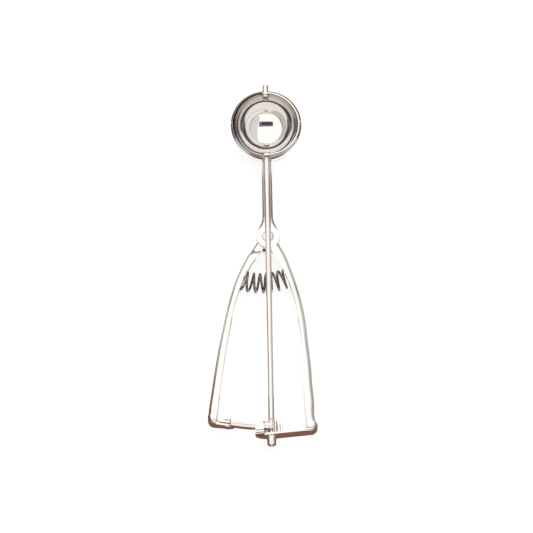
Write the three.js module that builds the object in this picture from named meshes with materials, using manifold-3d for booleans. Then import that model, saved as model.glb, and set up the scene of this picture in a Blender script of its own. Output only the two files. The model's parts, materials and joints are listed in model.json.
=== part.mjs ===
// Cookie scoop with a squeeze handle: a bowl on a forked steel frame, a spindle with a scraper
// blade, and a rack on the moving handle that turns the spindle.
// Millimetres, +Z up, lying on its back: the bowl is at +Y, the handles at -Y, the spindle at X 0.
import * as THREE from 'three';
import { mergeVertices } from 'three/addons/utils/BufferGeometryUtils.js';
import Module from 'manifold-3d';

const wasm = await Module();
wasm.setup();

// Sheet, gaps and facets
const sheet = 1.3;
const gap = 0.3;
const overrun = 2;
const seam = 0.15;
const weldDistance = 1e-4;
const bendRadius = 2.6;
const roundSides = 32;
const smallSides = 20;
const bendSteps = 4;

// Bowl
const bowlRadius = 19.5;
const bowlWall = 0.9;
const rimRise = 2.4;
const bowlSides = 64;
const bowlArcSteps = 14;

// Spindle: it passes over the pivot's rivet and slopes down into the bar
const rivetClear = 0.645;
const barHoleShare = 0.5575;
const rodRadius = 1.63;
const journalRadius = 1.2;
const peenRadius = 2;
const peenLength = 0.9;

// Scraper blade, which turns inside the bowl
const bladeThickness = 0.6;
const bladeWidth = 8.5;
const bladeTabRadius = 2.9;
const bladeRadius = bowlRadius - bowlWall - gap;
const bladeTopDrop = 0.5;
const topPinRadius = 1.5;
const topPinReach = 3.7;
const topPinHeadRadius = 2.3;

// Handles: two channels that lie on the table with their open sides facing each other
const armDepth = 12;
const pivotToBowl = 63.1;
const lobeRadius = 6.5;
const backLobeLow = 1.5;
const fixedLength = 114.3;
const fixedSpread = 25.2;
const squeezeShorter = 5.3;
const squeezeSpread = 34.7;
const armStart = 2.3;
const armStations = 30;
const stationPower = 1.4;
const stepStart = 7.2;
const stepEnd = 11;

// Edges of the arms: share of the arm's length below the pivot, share of its spread
const fixedOuterShares = [
  [0.02, 0.193], [0.088, 0.361], [0.166, 0.492], [0.31, 0.683], [0.448, 0.793], [0.534, 0.826],
  [0.674, 0.885], [0.77, 0.907], [0.85, 0.937], [0.935, 0.945], [0.965, 0.98], [1, 1],
];
const fixedInnerShares = [
  [0.02, -0.051], [0.088, 0.115], [0.166, 0.31], [0.31, 0.543],
  [0.448, 0.651], [0.8, 0.722], [0.91, 0.75], [1, 0.778],
];
const squeezeOuterShares = [
  [0.02, 0.179], [0.092, 0.32], [0.174, 0.453], [0.222, 0.518], [0.312, 0.611],
  [0.495, 0.749], [0.697, 0.87], [0.84, 0.939], [0.945, 0.988], [1, 1],
];
const squeezeInnerShares = [
  [0.02, 0], [0.092, 0.15], [0.174, 0.329], [0.26, 0.444], [0.321, 0.51],
  [0.499, 0.639], [0.84, 0.787], [0.954, 0.838], [1, 0.864],
];

// Bar across the bottom, with the ear in front of the rack and the guard behind the pinion
const cornerRadius = 4.5;
const cornerSteps = 8;
const barBack = 4;
const barSlope = THREE.MathUtils.degToRad(5.2);
const barEnd = 8.86;
const barRoundShare = 0.95;
const cornerLift = 2.4;
const earWidth = 5.1;
const earTopWidth = 4.2;
const earArch = 3.2;
const earReach = 8.3;
const guardLeft = 4.7;
const guardRight = 6;
const guardReach = 10;
const guardCornerRadius = 2;

// Shank and saddle that carry the bowl
const shankBack = 3;
const shankStations = 12;
const shankWidth = 5.7;
const shankNeckWidth = 5.3;
const shankRootWidth = 11.6;
const flarePower = 2;
const saddleHalfTurn = THREE.MathUtils.degToRad(29.5);
const saddleTop = THREE.MathUtils.degToRad(35);
const saddleBottom = THREE.MathUtils.degToRad(60);
const saddleSteps = 12;

// Pivot rivet and spacer
const rivetRadius = 1.6;
const rivetHeadRadius = 3.2;
const rivetHeadHeight = 1.3;
const rivetTailRadius = 2.6;
const rivetTailHeight = 1.2;
const spacerRadius = 3.2;
const spacerGap = 0.15;

// Domed heads: how wide they still are, as shares of the head, at mid height and on top
const domeMiddleShare = 0.9;
const domeTopShare = 0.5;
const buttonTopShare = 0.7;

// Spring between the arms, bowed away from the pivot
const springWire = 1.6;
const springRadius = 5.1;
const springTurns = 7;
const springSteps = 8;
const springSides = 5;
const springDrop = 23;
const springBow = 2.25;
const springEndClear = 0.9;
const seatRadius = 3.6;
const seatNoseRadius = 2.8;
const seatReach = 3;

// Rack and pinion
const toothModule = 0.6;
const pinionTeeth = 8;
const pressureAngle = THREE.MathUtils.degToRad(25);
const toothAddendum = 0.42;
const rootDepth = 0.57;
const backlash = 0.24;
const flankSteps = 4;
const rackToBar = 1.37;
const rackWidth = 3.1;
const rackThickness = 3.84;
const rackTeeth = 6;
const rackSteps = 10;
const pinionLength = 14.5;
const pinionStub = 5;
const pinionBore = 1.35;
const rodEndRadius = 1.1;
const rodNub = 0.6;

// Tab of the squeeze handle and the rack's lug riveted to it
const tabFront = 10.2;
const tabTipFront = 8.6;
const tabRound = 2;
const tabSlope = THREE.MathUtils.degToRad(-6.2);
const tabEnd = 20.4;
const lugNear = 20;
const lugFar = 29;
const lugBack = 4.5;
const lugFront = 9.8;
const postWidth = 2.3;
const rackRivetX = 24.1;
const rackRivetHeight = 7.4;
const rackRivetRadius = 1.2;
const rackRivetHeadRadius = 2.2;
const rackRivetHeadHeight = 1.3;
const rackRivetTailHeight = 0.4;

// Sizes that follow from the ones above
const pivotY = -pivotToBowl;
const squeezeLength = fixedLength - squeezeShorter;
const rodAtPivot = armDepth + rivetHeadHeight + rivetClear + rodRadius;
const rodAtBar = THREE.MathUtils.lerp(barBack, armDepth, barHoleShare);
const incline = Math.atan((rodAtPivot - rodAtBar) / fixedLength);
const bowlHeight = rodAtPivot + pivotToBowl * Math.tan(incline);
const frontLobeLow = armDepth - sheet;
const innerFrontHigh = frontLobeLow - gap;
const innerFrontLow = innerFrontHigh - sheet;
const innerBackLow = backLobeLow + sheet + gap;
const innerBackHigh = innerBackLow + sheet;
const pitchRadius = toothModule * pinionTeeth / 2;
const toothPitch = Math.PI * toothModule;
const rodHeight = (y) => bowlHeight + y * Math.tan(incline);
const barDrop = fixedLength + fixedSpread * Math.tan(barSlope);
const rackRadius = barDrop - sheet / Math.cos(barSlope) - rackToBar - rackWidth / 2;
const rackY = pivotY - rackRadius;
const rackReach = lugNear + postWidth;
const rackPitchHeight = rodHeight(rackY) + pitchRadius / Math.cos(incline);
const rackFront = rackPitchHeight - toothAddendum + rackThickness;

const polishedSteel = new THREE.MeshStandardMaterial({
  color: 0xdcd6d2, metalness: 1, roughness: 0.12,
});
const pressedSteel = new THREE.MeshStandardMaterial({
  color: 0xcfc8c4, metalness: 1, roughness: 0.2,
});
const springSteel = new THREE.MeshStandardMaterial({
  color: 0x6e5a50, metalness: 1, roughness: 0.35,
});

// A closed geometry as a solid that can be joined and cut.
function solid(geometry) {
  const bare = geometry.clone();
  bare.deleteAttribute('normal');
  bare.deleteAttribute('uv');
  const merged = mergeVertices(bare, weldDistance);
  return new wasm.Manifold(new wasm.Mesh({
    numProp: 3,
    vertProperties: new Float32Array(merged.attributes.position.array),
    triVerts: new Uint32Array(merged.index.array),
  }));
}

const joined = (parts) => parts.reduce((whole, part) => whole.add(part));
const cut = (whole, cutters) => cutters.reduce((rest, cutter) => rest.subtract(cutter), whole);

// A named mesh from a solid.
function piece(name, whole, material) {
  const made = whole.getMesh();
  const geometry = new THREE.BufferGeometry();
  geometry.setAttribute('position', new THREE.BufferAttribute(made.vertProperties, made.numProp));
  geometry.setIndex(new THREE.BufferAttribute(made.triVerts, 1));
  const faceted = geometry.toNonIndexed();
  faceted.computeVertexNormals();
  const mesh = new THREE.Mesh(faceted, material);
  mesh.name = name;
  return mesh;
}

// A flat outline in X and Y, standing from one height to another.
function plate(outline, low, high) {
  const shape = new THREE.Shape(outline);
  const geometry = new THREE.ExtrudeGeometry(shape, { depth: high - low, bevelEnabled: false });
  return solid(geometry.translate(0, 0, low));
}

// A round pin between two points, as a geometry. Its far end may have another radius.
function pinGeometry(radius, from, to, sides = smallSides, endRadius = radius) {
  const along = new THREE.Vector3().subVectors(to, from);
  const geometry = new THREE.CylinderGeometry(endRadius, radius, along.length(), sides);
  const turn = new THREE.Quaternion().setFromUnitVectors(
    new THREE.Vector3(0, 1, 0), along.clone().normalize());
  const middle = new THREE.Vector3().addVectors(from, to).multiplyScalar(0.5);
  return geometry.applyQuaternion(turn).translate(middle.x, middle.y, middle.z);
}

const pin = (...sizes) => solid(pinGeometry(...sizes));

// A pin that stands at the pivot, between two heights.
function pivotPin(radius, low, high, sides = roundSides, endRadius = radius) {
  const from = new THREE.Vector3(0, pivotY, low);
  const to = new THREE.Vector3(0, pivotY, high);
  return pin(radius, from, to, sides, endRadius);
}

// A pin on the spindle's axis, in the spindle's own frame.
function axisPin(radius, from, to, sides = smallSides, endRadius = radius) {
  return pin(radius, new THREE.Vector3(0, from, 0), new THREE.Vector3(0, to, 0), sides, endRadius);
}

// A closed body through a row of sections with equal point counts, each anticlockwise.
function loft(sections, place) {
  const count = sections[0].length;
  const last = (sections.length - 1) * count;
  const points = sections.flatMap((section, station) => (
    section.flatMap((point) => place(point, station).toArray())));
  const faces = [];
  for (let start = 0; start < last; start += count) {
    for (let corner = 0; corner < count; corner += 1) {
      const near = start + corner;
      const beside = start + (corner + 1) % count;
      faces.push(near, beside, beside + count, near, beside + count, near + count);
    }
  }
  THREE.ShapeUtils.triangulateShape([...sections[0]], []).forEach(([a, b, c]) => {
    faces.push(c, b, a);
  });
  THREE.ShapeUtils.triangulateShape([...sections.at(-1)], []).forEach(([a, b, c]) => {
    faces.push(last + a, last + b, last + c);
  });
  const geometry = new THREE.BufferGeometry();
  geometry.setAttribute('position', new THREE.Float32BufferAttribute(points, 3));
  geometry.setIndex(faces);
  return geometry;
}

// A smooth edge: the distance from the spindle's plane at a given distance below the pivot.
function edge(shares, length, spread) {
  const drops = shares.map(([share]) => share * length);
  const reaches = shares.map(([, share]) => share * spread);
  const curve = new THREE.CubicInterpolant(drops, reaches, 1);
  return (drop) => curve.evaluate(drop)[0];
}

// One arm's edges and its side: +1 is right, -1 is left.
const fixedArm = {
  side: 1,
  length: fixedLength,
  slope: barSlope,
  outer: edge(fixedOuterShares, fixedLength, fixedSpread),
  inner: edge(fixedInnerShares, fixedLength, fixedSpread),
  low: (drop) => backLobeLow * (1 - THREE.MathUtils.smoothstep(drop, stepStart, stepEnd)),
  high: () => armDepth,
};
const squeezeArm = {
  side: -1,
  length: squeezeLength,
  slope: tabSlope,
  outer: edge(squeezeOuterShares, squeezeLength, squeezeSpread),
  inner: edge(squeezeInnerShares, squeezeLength, squeezeSpread),
  low: (drop) => innerBackLow * (1 - THREE.MathUtils.smoothstep(drop, stepStart, stepEnd)),
  high: (drop) => THREE.MathUtils.lerp(
    innerFrontHigh, armDepth, THREE.MathUtils.smoothstep(drop, stepStart, stepEnd)),
};

// How much a slanting wall widens when it is measured straight across.
function slant(arm, drop) {
  const slope = (arm.outer(drop + sheet) - arm.outer(drop)) / sheet;
  return Math.hypot(1, slope);
}

// Points of an arc in a plane.
function arc(centreX, centreY, radiusX, radiusY, from, to, steps) {
  return Array.from({ length: steps + 1 }, (_, step) => {
    const angle = THREE.MathUtils.lerp(from, to, step / steps);
    return new THREE.Vector2(
      centreX + radiusX * Math.cos(angle), centreY + radiusY * Math.sin(angle));
  });
}

// The channel's section, from the flanges' edge to the web, which is rounded at both flanges.
function channelSection({ lip, web, stretch, low, high }) {
  const quarter = Math.PI / 2;
  const centre = web - bendRadius * stretch;
  const inside = bendRadius - sheet;
  return [
    new THREE.Vector2(lip, low),
    ...arc(centre, low + bendRadius, bendRadius * stretch, bendRadius, -quarter, 0, bendSteps),
    ...arc(centre, high - bendRadius, bendRadius * stretch, bendRadius, 0, quarter, bendSteps),
    new THREE.Vector2(lip, high),
    new THREE.Vector2(lip, high - sheet),
    ...arc(centre, high - bendRadius, inside * stretch, inside, quarter, 0, bendSteps),
    ...arc(centre, low + bendRadius, inside * stretch, inside, 0, -quarter, bendSteps),
    new THREE.Vector2(lip, low + sheet),
  ];
}

// Where an arm's corner would be if it were sharp, and its underside's place in Y at a given X.
const cornerOf = (arm) => new THREE.Vector2(arm.side * arm.outer(arm.length), pivotY - arm.length);
const underside = (arm, x) => cornerOf(arm).y + (x - cornerOf(arm).x) * Math.tan(arm.slope);
const barUnder = (x) => underside(fixedArm, x);
const tabUnder = (x) => underside(squeezeArm, x);

// The centre of the corner's round, and the end of the flanges' edge beside it.
function cornerCentre(arm) {
  const x = cornerOf(arm).x - arm.side * cornerRadius;
  return new THREE.Vector2(x, underside(arm, x) + cornerRadius / Math.cos(arm.slope));
}
function flangeTip(arm) {
  const x = arm.side * arm.inner(arm.length);
  return new THREE.Vector2(x, underside(arm, x) + bendRadius / Math.cos(arm.slope) + seam);
}

// A station of the straight part: the section lies across the spindle.
function armStation(arm, drop) {
  return {
    origin: new THREE.Vector2(0, pivotY - drop),
    ray: new THREE.Vector2(arm.side, 0),
    lip: arm.inner(drop),
    web: arm.outer(drop),
    stretch: slant(arm, drop),
    low: arm.low(drop),
    high: arm.high(drop),
  };
}

// The stations round the corner: the sections swing about the end of the flanges' edge.
function cornerStations(arm, fromDrop) {
  const centre = cornerCentre(arm);
  const tip = flangeTip(arm);
  const start = new THREE.Vector2(arm.side * arm.inner(fromDrop), pivotY - fromDrop);
  const end = arm.side * arm.slope - Math.PI / 2;
  const under = new THREE.Vector2(Math.sin(arm.slope), -Math.cos(arm.slope));
  const round = arc(0, 0, cornerRadius, cornerRadius, 0, end, cornerSteps).map((point) => {
    const outwards = new THREE.Vector2(arm.side * point.x, point.y);
    return { foot: outwards.clone().add(centre), outwards: outwards.normalize() };
  });
  round.push({ foot: new THREE.Vector2(tip.x, underside(arm, tip.x)), outwards: under });
  return round.map(({ foot, outwards }, step) => {
    const origin = start.clone().lerp(tip, (step + 1) / round.length);
    const ray = foot.clone().sub(origin);
    const web = ray.length();
    const stretch = web / ray.dot(outwards);
    const low = cornerLift * (step + 1) / round.length;
    return { origin, ray: ray.normalize(), lip: 0, web, stretch, low, high: armDepth };
  });
}

// The arm's channel, from inside the lobe, round the corner, to the end of its flanges.
function channel(arm) {
  const endDrop = pivotY - cornerCentre(arm).y - sheet;
  const drops = Array.from({ length: armStations + 1 }, (_, station) => (
    THREE.MathUtils.lerp(armStart, endDrop, (station / armStations) ** stationPower)));
  const stations = [
    ...drops.map((drop) => armStation(arm, drop)), ...cornerStations(arm, endDrop),
  ];
  const sections = stations.map((station) => {
    const outline = channelSection(station);
    if (arm.side > 0) return outline;
    return outline.map((point) => new THREE.Vector2(-point.x, point.y)).reverse();
  });
  return solid(loft(sections, (point, station) => {
    const { origin, ray } = stations[station];
    const place = origin.clone().addScaledVector(ray, arm.side * point.x);
    return new THREE.Vector3(place.x, place.y, point.y);
  }));
}

// An upright wall as thick as the sheet: its outline is given along the wall and in height, and
// the wall runs along an arm's underside from the arm's corner.
function wall(arm, outline) {
  const geometry = new THREE.ExtrudeGeometry(
    new THREE.Shape(outline), { depth: sheet, bevelEnabled: false });
  const corner = cornerOf(arm);
  geometry.rotateX(Math.PI / 2).translate(0, sheet, 0).rotateZ(arm.slope);
  return solid(geometry.translate(corner.x, corner.y, 0));
}
const alongWall = (arm, x) => (x - cornerOf(arm).x) / Math.cos(arm.slope);

// A strip that follows two legs round one corner: the points are on its outer side.
function bentStrip(start, corner, end, radius, thickness) {
  const firstLeg = new THREE.Vector2().subVectors(start, corner).normalize();
  const secondLeg = new THREE.Vector2().subVectors(end, corner).normalize();
  const half = Math.acos(firstLeg.dot(secondLeg)) / 2;
  const inwards = new THREE.Vector2().addVectors(firstLeg, secondLeg).normalize();
  const centre = corner.clone().addScaledVector(inwards, radius / Math.sin(half));
  const firstTouch = corner.clone().addScaledVector(firstLeg, radius / Math.tan(half));
  const secondTouch = corner.clone().addScaledVector(secondLeg, radius / Math.tan(half));
  const from = firstTouch.clone().sub(centre).angle();
  const sweep = Math.PI - 2 * half;
  const turn = firstLeg.cross(secondLeg) > 0 ? -sweep : sweep;
  const firstInset = centre.clone().sub(firstTouch).normalize().multiplyScalar(thickness);
  const secondInset = centre.clone().sub(secondTouch).normalize().multiplyScalar(thickness);
  const inner = radius - thickness;
  return [
    start,
    ...arc(centre.x, centre.y, radius, radius, from, from + turn, bendSteps),
    end,
    end.clone().add(secondInset),
    ...arc(centre.x, centre.y, inner, inner, from + turn, from, bendSteps),
    start.clone().add(firstInset),
  ];
}

// The bar across the bottom, which goes on from the corner and ends in a round.
function bar() {
  const near = alongWall(fixedArm, flangeTip(fixedArm).x + seam);
  const far = alongWall(fixedArm, -barEnd);
  const barRound = barRoundShare * (armDepth - barBack);
  const turn = Math.PI / 2;
  return wall(fixedArm, [
    new THREE.Vector2(near, barBack),
    new THREE.Vector2(near, armDepth),
    new THREE.Vector2(far, armDepth),
    ...arc(far + barRound, barBack + barRound, barRound, barRound, 2 * turn, 3 * turn, smallSides / 2),
  ]);
}

// The squeeze handle's tab, whose end is rounded.
function tab() {
  const near = alongWall(squeezeArm, flangeTip(squeezeArm).x - seam);
  const far = alongWall(squeezeArm, -tabEnd);
  const turn = Math.PI / 2;
  const middle = far - tabRound;
  return wall(squeezeArm, [
    new THREE.Vector2(near, barBack),
    ...arc(middle, barBack + tabRound, tabRound, tabRound, -turn, 0, bendSteps),
    ...arc(middle, tabTipFront - tabRound, tabRound, tabRound, 0, turn, bendSteps),
    new THREE.Vector2(near, tabFront),
  ]);
}

// The ear: a strip that is bent forward from the bar's end and then up, in front of the rack.
function ear() {
  const left = -barEnd;
  const right = left + earWidth;
  const foot = barUnder(left);
  const tip = foot + earReach;
  const front = rackFront + gap + sheet;
  const bent = bentStrip(
    new THREE.Vector2(armDepth - sheet, foot), new THREE.Vector2(front, foot),
    new THREE.Vector2(front, tip), bendRadius, sheet);
  const strip = new THREE.ExtrudeGeometry(
    new THREE.Shape(bent), { depth: earWidth, bevelEnabled: false });
  // The strip's outline lies in height and Y, and it is as wide along X as the ear.
  strip.applyMatrix4(new THREE.Matrix4().makeBasis(
    new THREE.Vector3(0, 0, 1), new THREE.Vector3(0, 1, 0), new THREE.Vector3(-1, 0, 0)));
  strip.translate(earWidth, 0, 0);
  strip.applyMatrix4(new THREE.Matrix4().makeShear(Math.tan(barSlope), 0, 0, 0, 0, 0));
  strip.translate(left, 0, 0);
  const half = earTopWidth / 2;
  const outline = [
    new THREE.Vector2(left, foot - overrun),
    new THREE.Vector2(right, foot - overrun),
    ...arc(left + half, tip - earArch, half, earArch, 0, Math.PI, smallSides / 2),
  ];
  return solid(strip).intersect(plate(outline, barBack, front + overrun));
}

// The guard: a flat wall behind the pinion, with one rounded corner.
function guard() {
  const top = barUnder(0) + guardReach;
  const turn = guardCornerRadius;
  const outline = [
    new THREE.Vector2(-guardLeft, barUnder(-guardLeft)),
    new THREE.Vector2(guardRight, barUnder(guardRight)),
    ...arc(guardRight - turn, top - turn, turn, turn, 0, Math.PI / 2, bendSteps),
    new THREE.Vector2(-guardLeft, top),
  ];
  return plate(outline, barBack, barBack + sheet);
}

// The shank's section: a folded strip, closed in front and open behind.
function shankSection(width) {
  const half = width / 2;
  const inside = half - sheet;
  const radius = Math.min(bendRadius, half) / 2;
  const quarter = Math.PI / 2;
  return [
    new THREE.Vector2(half, shankBack),
    ...arc(half - radius, armDepth - radius, radius, radius, 0, quarter, bendSteps),
    ...arc(radius - half, armDepth - radius, radius, radius, quarter, 2 * quarter, bendSteps),
    new THREE.Vector2(-half, shankBack),
    new THREE.Vector2(-inside, shankBack),
    new THREE.Vector2(-inside, armDepth - sheet),
    new THREE.Vector2(inside, armDepth - sheet),
    new THREE.Vector2(inside, shankBack),
  ];
}

// The shank runs from the front lobe to the saddle and narrows towards the bowl.
function shank() {
  const start = -bowlRadius / 2;
  const rootStart = pivotY + 2 * lobeRadius;
  const end = pivotY + lobeRadius / 2;
  const places = Array.from({ length: shankStations + 1 }, (_, station) => (
    THREE.MathUtils.lerp(start, end, station / shankStations)));
  const widthAt = (y) => {
    const straight = THREE.MathUtils.mapLinear(
      y, -bowlRadius, rootStart, shankNeckWidth, shankWidth);
    const flare = 1 - THREE.MathUtils.smoothstep(y, end, rootStart);
    return Math.max(straight, shankNeckWidth) + (shankRootWidth - shankWidth) * flare ** flarePower;
  };
  const sections = places.map((y) => shankSection(widthAt(y)));
  return solid(loft(sections, (point, station) => (
    new THREE.Vector3(point.x, places[station], point.y))));
}

// Puts a geometry of the spindle's own frame into the part's frame.
const tilted = (geometry) => geometry.rotateX(incline).translate(0, 0, bowlHeight);

// A full ball about the bowl's centre, in the spindle's frame.
const ball = (radius) => new THREE.SphereGeometry(radius, bowlSides, bowlSides / 2);

// The saddle: a patch of a sphere under the bowl's near side.
function saddle() {
  const inner = bowlRadius + gap;
  const outer = inner + sheet;
  const side = [
    ...arc(0, 0, outer, outer, Math.PI + saddleTop, Math.PI + saddleBottom, saddleSteps),
    ...arc(0, 0, inner, inner, Math.PI + saddleBottom, Math.PI + saddleTop, saddleSteps),
  ];
  const turns = Array.from({ length: saddleSteps + 1 }, (_, step) => (
    THREE.MathUtils.lerp(-saddleHalfTurn, saddleHalfTurn, step / saddleSteps)));
  const patch = loft(turns.map(() => side), (point, station) => {
    const turn = turns[station];
    return new THREE.Vector3(
      point.length() * Math.sin(turn), point.x * Math.cos(turn), point.y * Math.cos(turn));
  });
  return solid(tilted(patch));
}

// The fixed handle is one pressing: arm, lobes, bar, ear, guard, shank and saddle.
function fixedHandle() {
  const lobes = [
    pivotPin(lobeRadius, frontLobeLow, armDepth, roundSides),
    pivotPin(lobeRadius, backLobeLow, backLobeLow + sheet, roundSides),
  ];
  const room = pivotPin(lobeRadius + gap, backLobeLow + sheet, frontLobeLow, roundSides);
  const bowlRoom = solid(tilted(ball(bowlRadius + gap)));
  const spindleHole = solid(tilted(pinGeometry(
    pitchRadius + toothAddendum + gap,
    new THREE.Vector3(0, sheet + overrun - barDistance, 0),
    new THREE.Vector3(0, -barDistance - overrun, 0))));
  const strut = cut(shank(), [bowlRoom]);
  const arm = cut(channel(fixedArm), [room]);
  const whole = joined([arm, cut(strut, [room]), saddle(), bar(), guard(), ...lobes]);
  const rivetHole = pivotPin(rivetRadius + gap, -overrun, armDepth + overrun, smallSides);
  return cut(whole, [spindleHole, rivetHole]).add(ear());
}

// The squeeze handle: its lobes lie inside the fixed ones, and its tab carries the rack.
function squeezeHandle() {
  const lobes = [
    pivotPin(lobeRadius, innerFrontLow, innerFrontHigh, roundSides),
    pivotPin(lobeRadius, innerBackLow, innerBackHigh, roundSides),
  ];
  const room = [
    pivotPin(lobeRadius + gap, innerFrontHigh, armDepth + overrun, roundSides),
    pivotPin(lobeRadius + gap, -overrun, innerBackLow, roundSides),
  ];
  const arm = cut(channel(squeezeArm), room);
  const whole = joined([arm, tab(), ...lobes]);
  const rivetHole = pivotPin(rivetRadius + gap, -overrun, armDepth + overrun, smallSides);
  return cut(whole, [rivetHole, rackRivetPin(rackRivetRadius + gap, -overrun, sheet + overrun)]);
}

// A pin square to the tab, at the rack's rivet, between two distances from its underside.
function rackRivetPin(radius, from, to, endRadius = radius) {
  const foot = new THREE.Vector3(-rackRivetX, tabUnder(-rackRivetX), rackRivetHeight);
  const across = new THREE.Vector3(-Math.sin(tabSlope), Math.cos(tabSlope), 0);
  return pin(
    radius, foot.clone().addScaledVector(across, from), foot.clone().addScaledVector(across, to),
    smallSides, endRadius);
}

// The pivot's rivet, with a domed head in front and a flat tail behind.
function pivotRivet() {
  const tailLow = backLobeLow - rivetTailHeight;
  const neck = armDepth + rivetHeadHeight / 2;
  return joined([
    pivotPin(rivetTailRadius, tailLow, backLobeLow, smallSides),
    pivotPin(rivetRadius, tailLow, neck, smallSides),
    pivotPin(rivetHeadRadius, armDepth, neck, roundSides, rivetHeadRadius * domeMiddleShare),
    pivotPin(
      rivetHeadRadius * domeMiddleShare, neck, armDepth + rivetHeadHeight, roundSides,
      rivetHeadRadius * domeTopShare),
  ]);
}

// The spacer sleeve between the inner lobes.
function pivotSpacer() {
  const low = innerBackHigh + spacerGap;
  const high = innerFrontLow - spacerGap;
  const bore = pivotPin(rivetRadius + gap, low - overrun, high + overrun, smallSides);
  return pivotPin(spacerRadius, low, high, roundSides).subtract(bore);
}

// The spring's centre line is an arc between the flanges' edges: its frame at a share of it.
const springEndX = (arm) => arm.side * arm.inner(springDrop);
const springHalf = (springEndX(fixedArm) - springEndX(squeezeArm)) / 2;
const springMiddle = (springEndX(fixedArm) + springEndX(squeezeArm)) / 2;
const springArcRadius = (springHalf ** 2 + springBow ** 2) / (2 * springBow);
const springArcHalf = Math.asin(springHalf / springArcRadius);
const springLimit = springArcHalf - springEndClear / springArcRadius;

function springFrame(angle) {
  const centre = new THREE.Vector3(
    springMiddle + springArcRadius * Math.sin(angle),
    pivotY - springDrop - springBow + springArcRadius * (1 - Math.cos(angle)),
    armDepth / 2);
  const along = new THREE.Vector3(Math.cos(angle), Math.sin(angle), 0);
  const outwards = new THREE.Vector3(Math.sin(angle), -Math.cos(angle), 0);
  return { centre, along, outwards };
}

// Points along the wire: a helix about the arc, and a straight run at each end. Both ends are on
// the side away from the pivot, midway between the flanges.
function springPath() {
  const count = springTurns * springSteps;
  const up = new THREE.Vector3(0, 0, 1);
  const helix = Array.from({ length: count + 1 }, (_, step) => {
    const share = step / count;
    const frame = springFrame(THREE.MathUtils.lerp(-springLimit, springLimit, share));
    const turn = Math.PI / 2 + 2 * Math.PI * springTurns * share;
    return frame.centre
      .addScaledVector(up, springRadius * Math.cos(turn))
      .addScaledVector(frame.outwards, springRadius * Math.sin(turn));
  });
  const first = helix[0].clone().addScaledVector(springFrame(-springLimit).along, -springWire);
  const last = helix[count].clone().addScaledVector(springFrame(springLimit).along, springWire);
  return [first, ...helix, last];
}

// The least distance between parts of the wire that are more than half a turn apart.
function leastGap(path) {
  const apart = springSteps / 2;
  let least = Infinity;
  for (let near = 0; near + 1 < path.length; near += 1) {
    for (let far = near + apart; far + 1 < path.length; far += 1) {
      for (let share = 0; share < 1; share += 1 / springSteps) {
        const point = path[near].clone().lerp(path[near + 1], share);
        const line = new THREE.Line3(path[far], path[far + 1]);
        const closest = line.closestPointToPoint(point, true, new THREE.Vector3());
        least = Math.min(least, closest.distanceTo(point));
      }
    }
  }
  return least - springWire;
}

// The spring: one unbroken wire.
function spring() {
  const path = springPath();
  console.log('least gap of the spring to itself, mm:', leastGap(path).toFixed(2));
  const section = arc(
    0, 0, springWire / 2, springWire / 2, 0, 2 * Math.PI, springSides).slice(0, springSides);
  const tangents = path.map((point, index) => {
    const before = path[Math.max(index - 1, 0)];
    const after = path[Math.min(index + 1, path.length - 1)];
    return new THREE.Vector3().subVectors(after, before).normalize();
  });
  const rights = [];
  tangents.forEach((tangent, index) => {
    const previous = index ? rights[index - 1] : new THREE.Vector3(0, 0, 1);
    const right = previous.clone().addScaledVector(tangent, -previous.dot(tangent));
    rights.push(right.normalize());
  });
  return loft(path.map(() => section), (point, station) => {
    const up = new THREE.Vector3().crossVectors(tangents[station], rights[station]);
    return path[station].clone()
      .addScaledVector(rights[station], point.x)
      .addScaledVector(up, point.y);
  });
}

// Everything outside a line that runs a gap inside the arm's web, beside the spring.
function webRoom(arm) {
  const inside = Array.from({ length: bendSteps + 1 }, (_, step) => {
    const drop = springDrop + THREE.MathUtils.lerp(-armDepth, armDepth, step / bendSteps);
    const x = arm.outer(drop) - (sheet + gap) * slant(arm, drop);
    return new THREE.Vector2(arm.side * x, pivotY - drop);
  });
  const far = arm.side * (arm.outer(arm.length) + overrun);
  const outline = [
    ...inside, new THREE.Vector2(far, inside.at(-1).y), new THREE.Vector2(far, inside[0].y),
  ];
  return plate(outline, -overrun, armDepth + overrun);
}

// A seat: a boss on the arm's web, whose nose holds the spring's end.
function springSeat(arm) {
  const frame = springFrame(arm.side * springArcHalf);
  const foot = springFrame(arm.side * springLimit).centre;
  const blank = frame.centre.clone().addScaledVector(frame.along, arm.side * armDepth);
  const nose = foot.clone().addScaledVector(frame.along, -arm.side * seatReach);
  const boss = pin(seatRadius, blank, foot).subtract(webRoom(arm));
  return boss.add(pin(seatRadius, foot, nose, smallSides, seatNoseRadius));
}

// A point of the rack: tangential distance along its pitch line, radius from the pivot.
function rackPoint(distance, radius) {
  const angle = distance / rackRadius;
  return new THREE.Vector2(radius * Math.sin(angle), pivotY - radius * Math.cos(angle));
}

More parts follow.
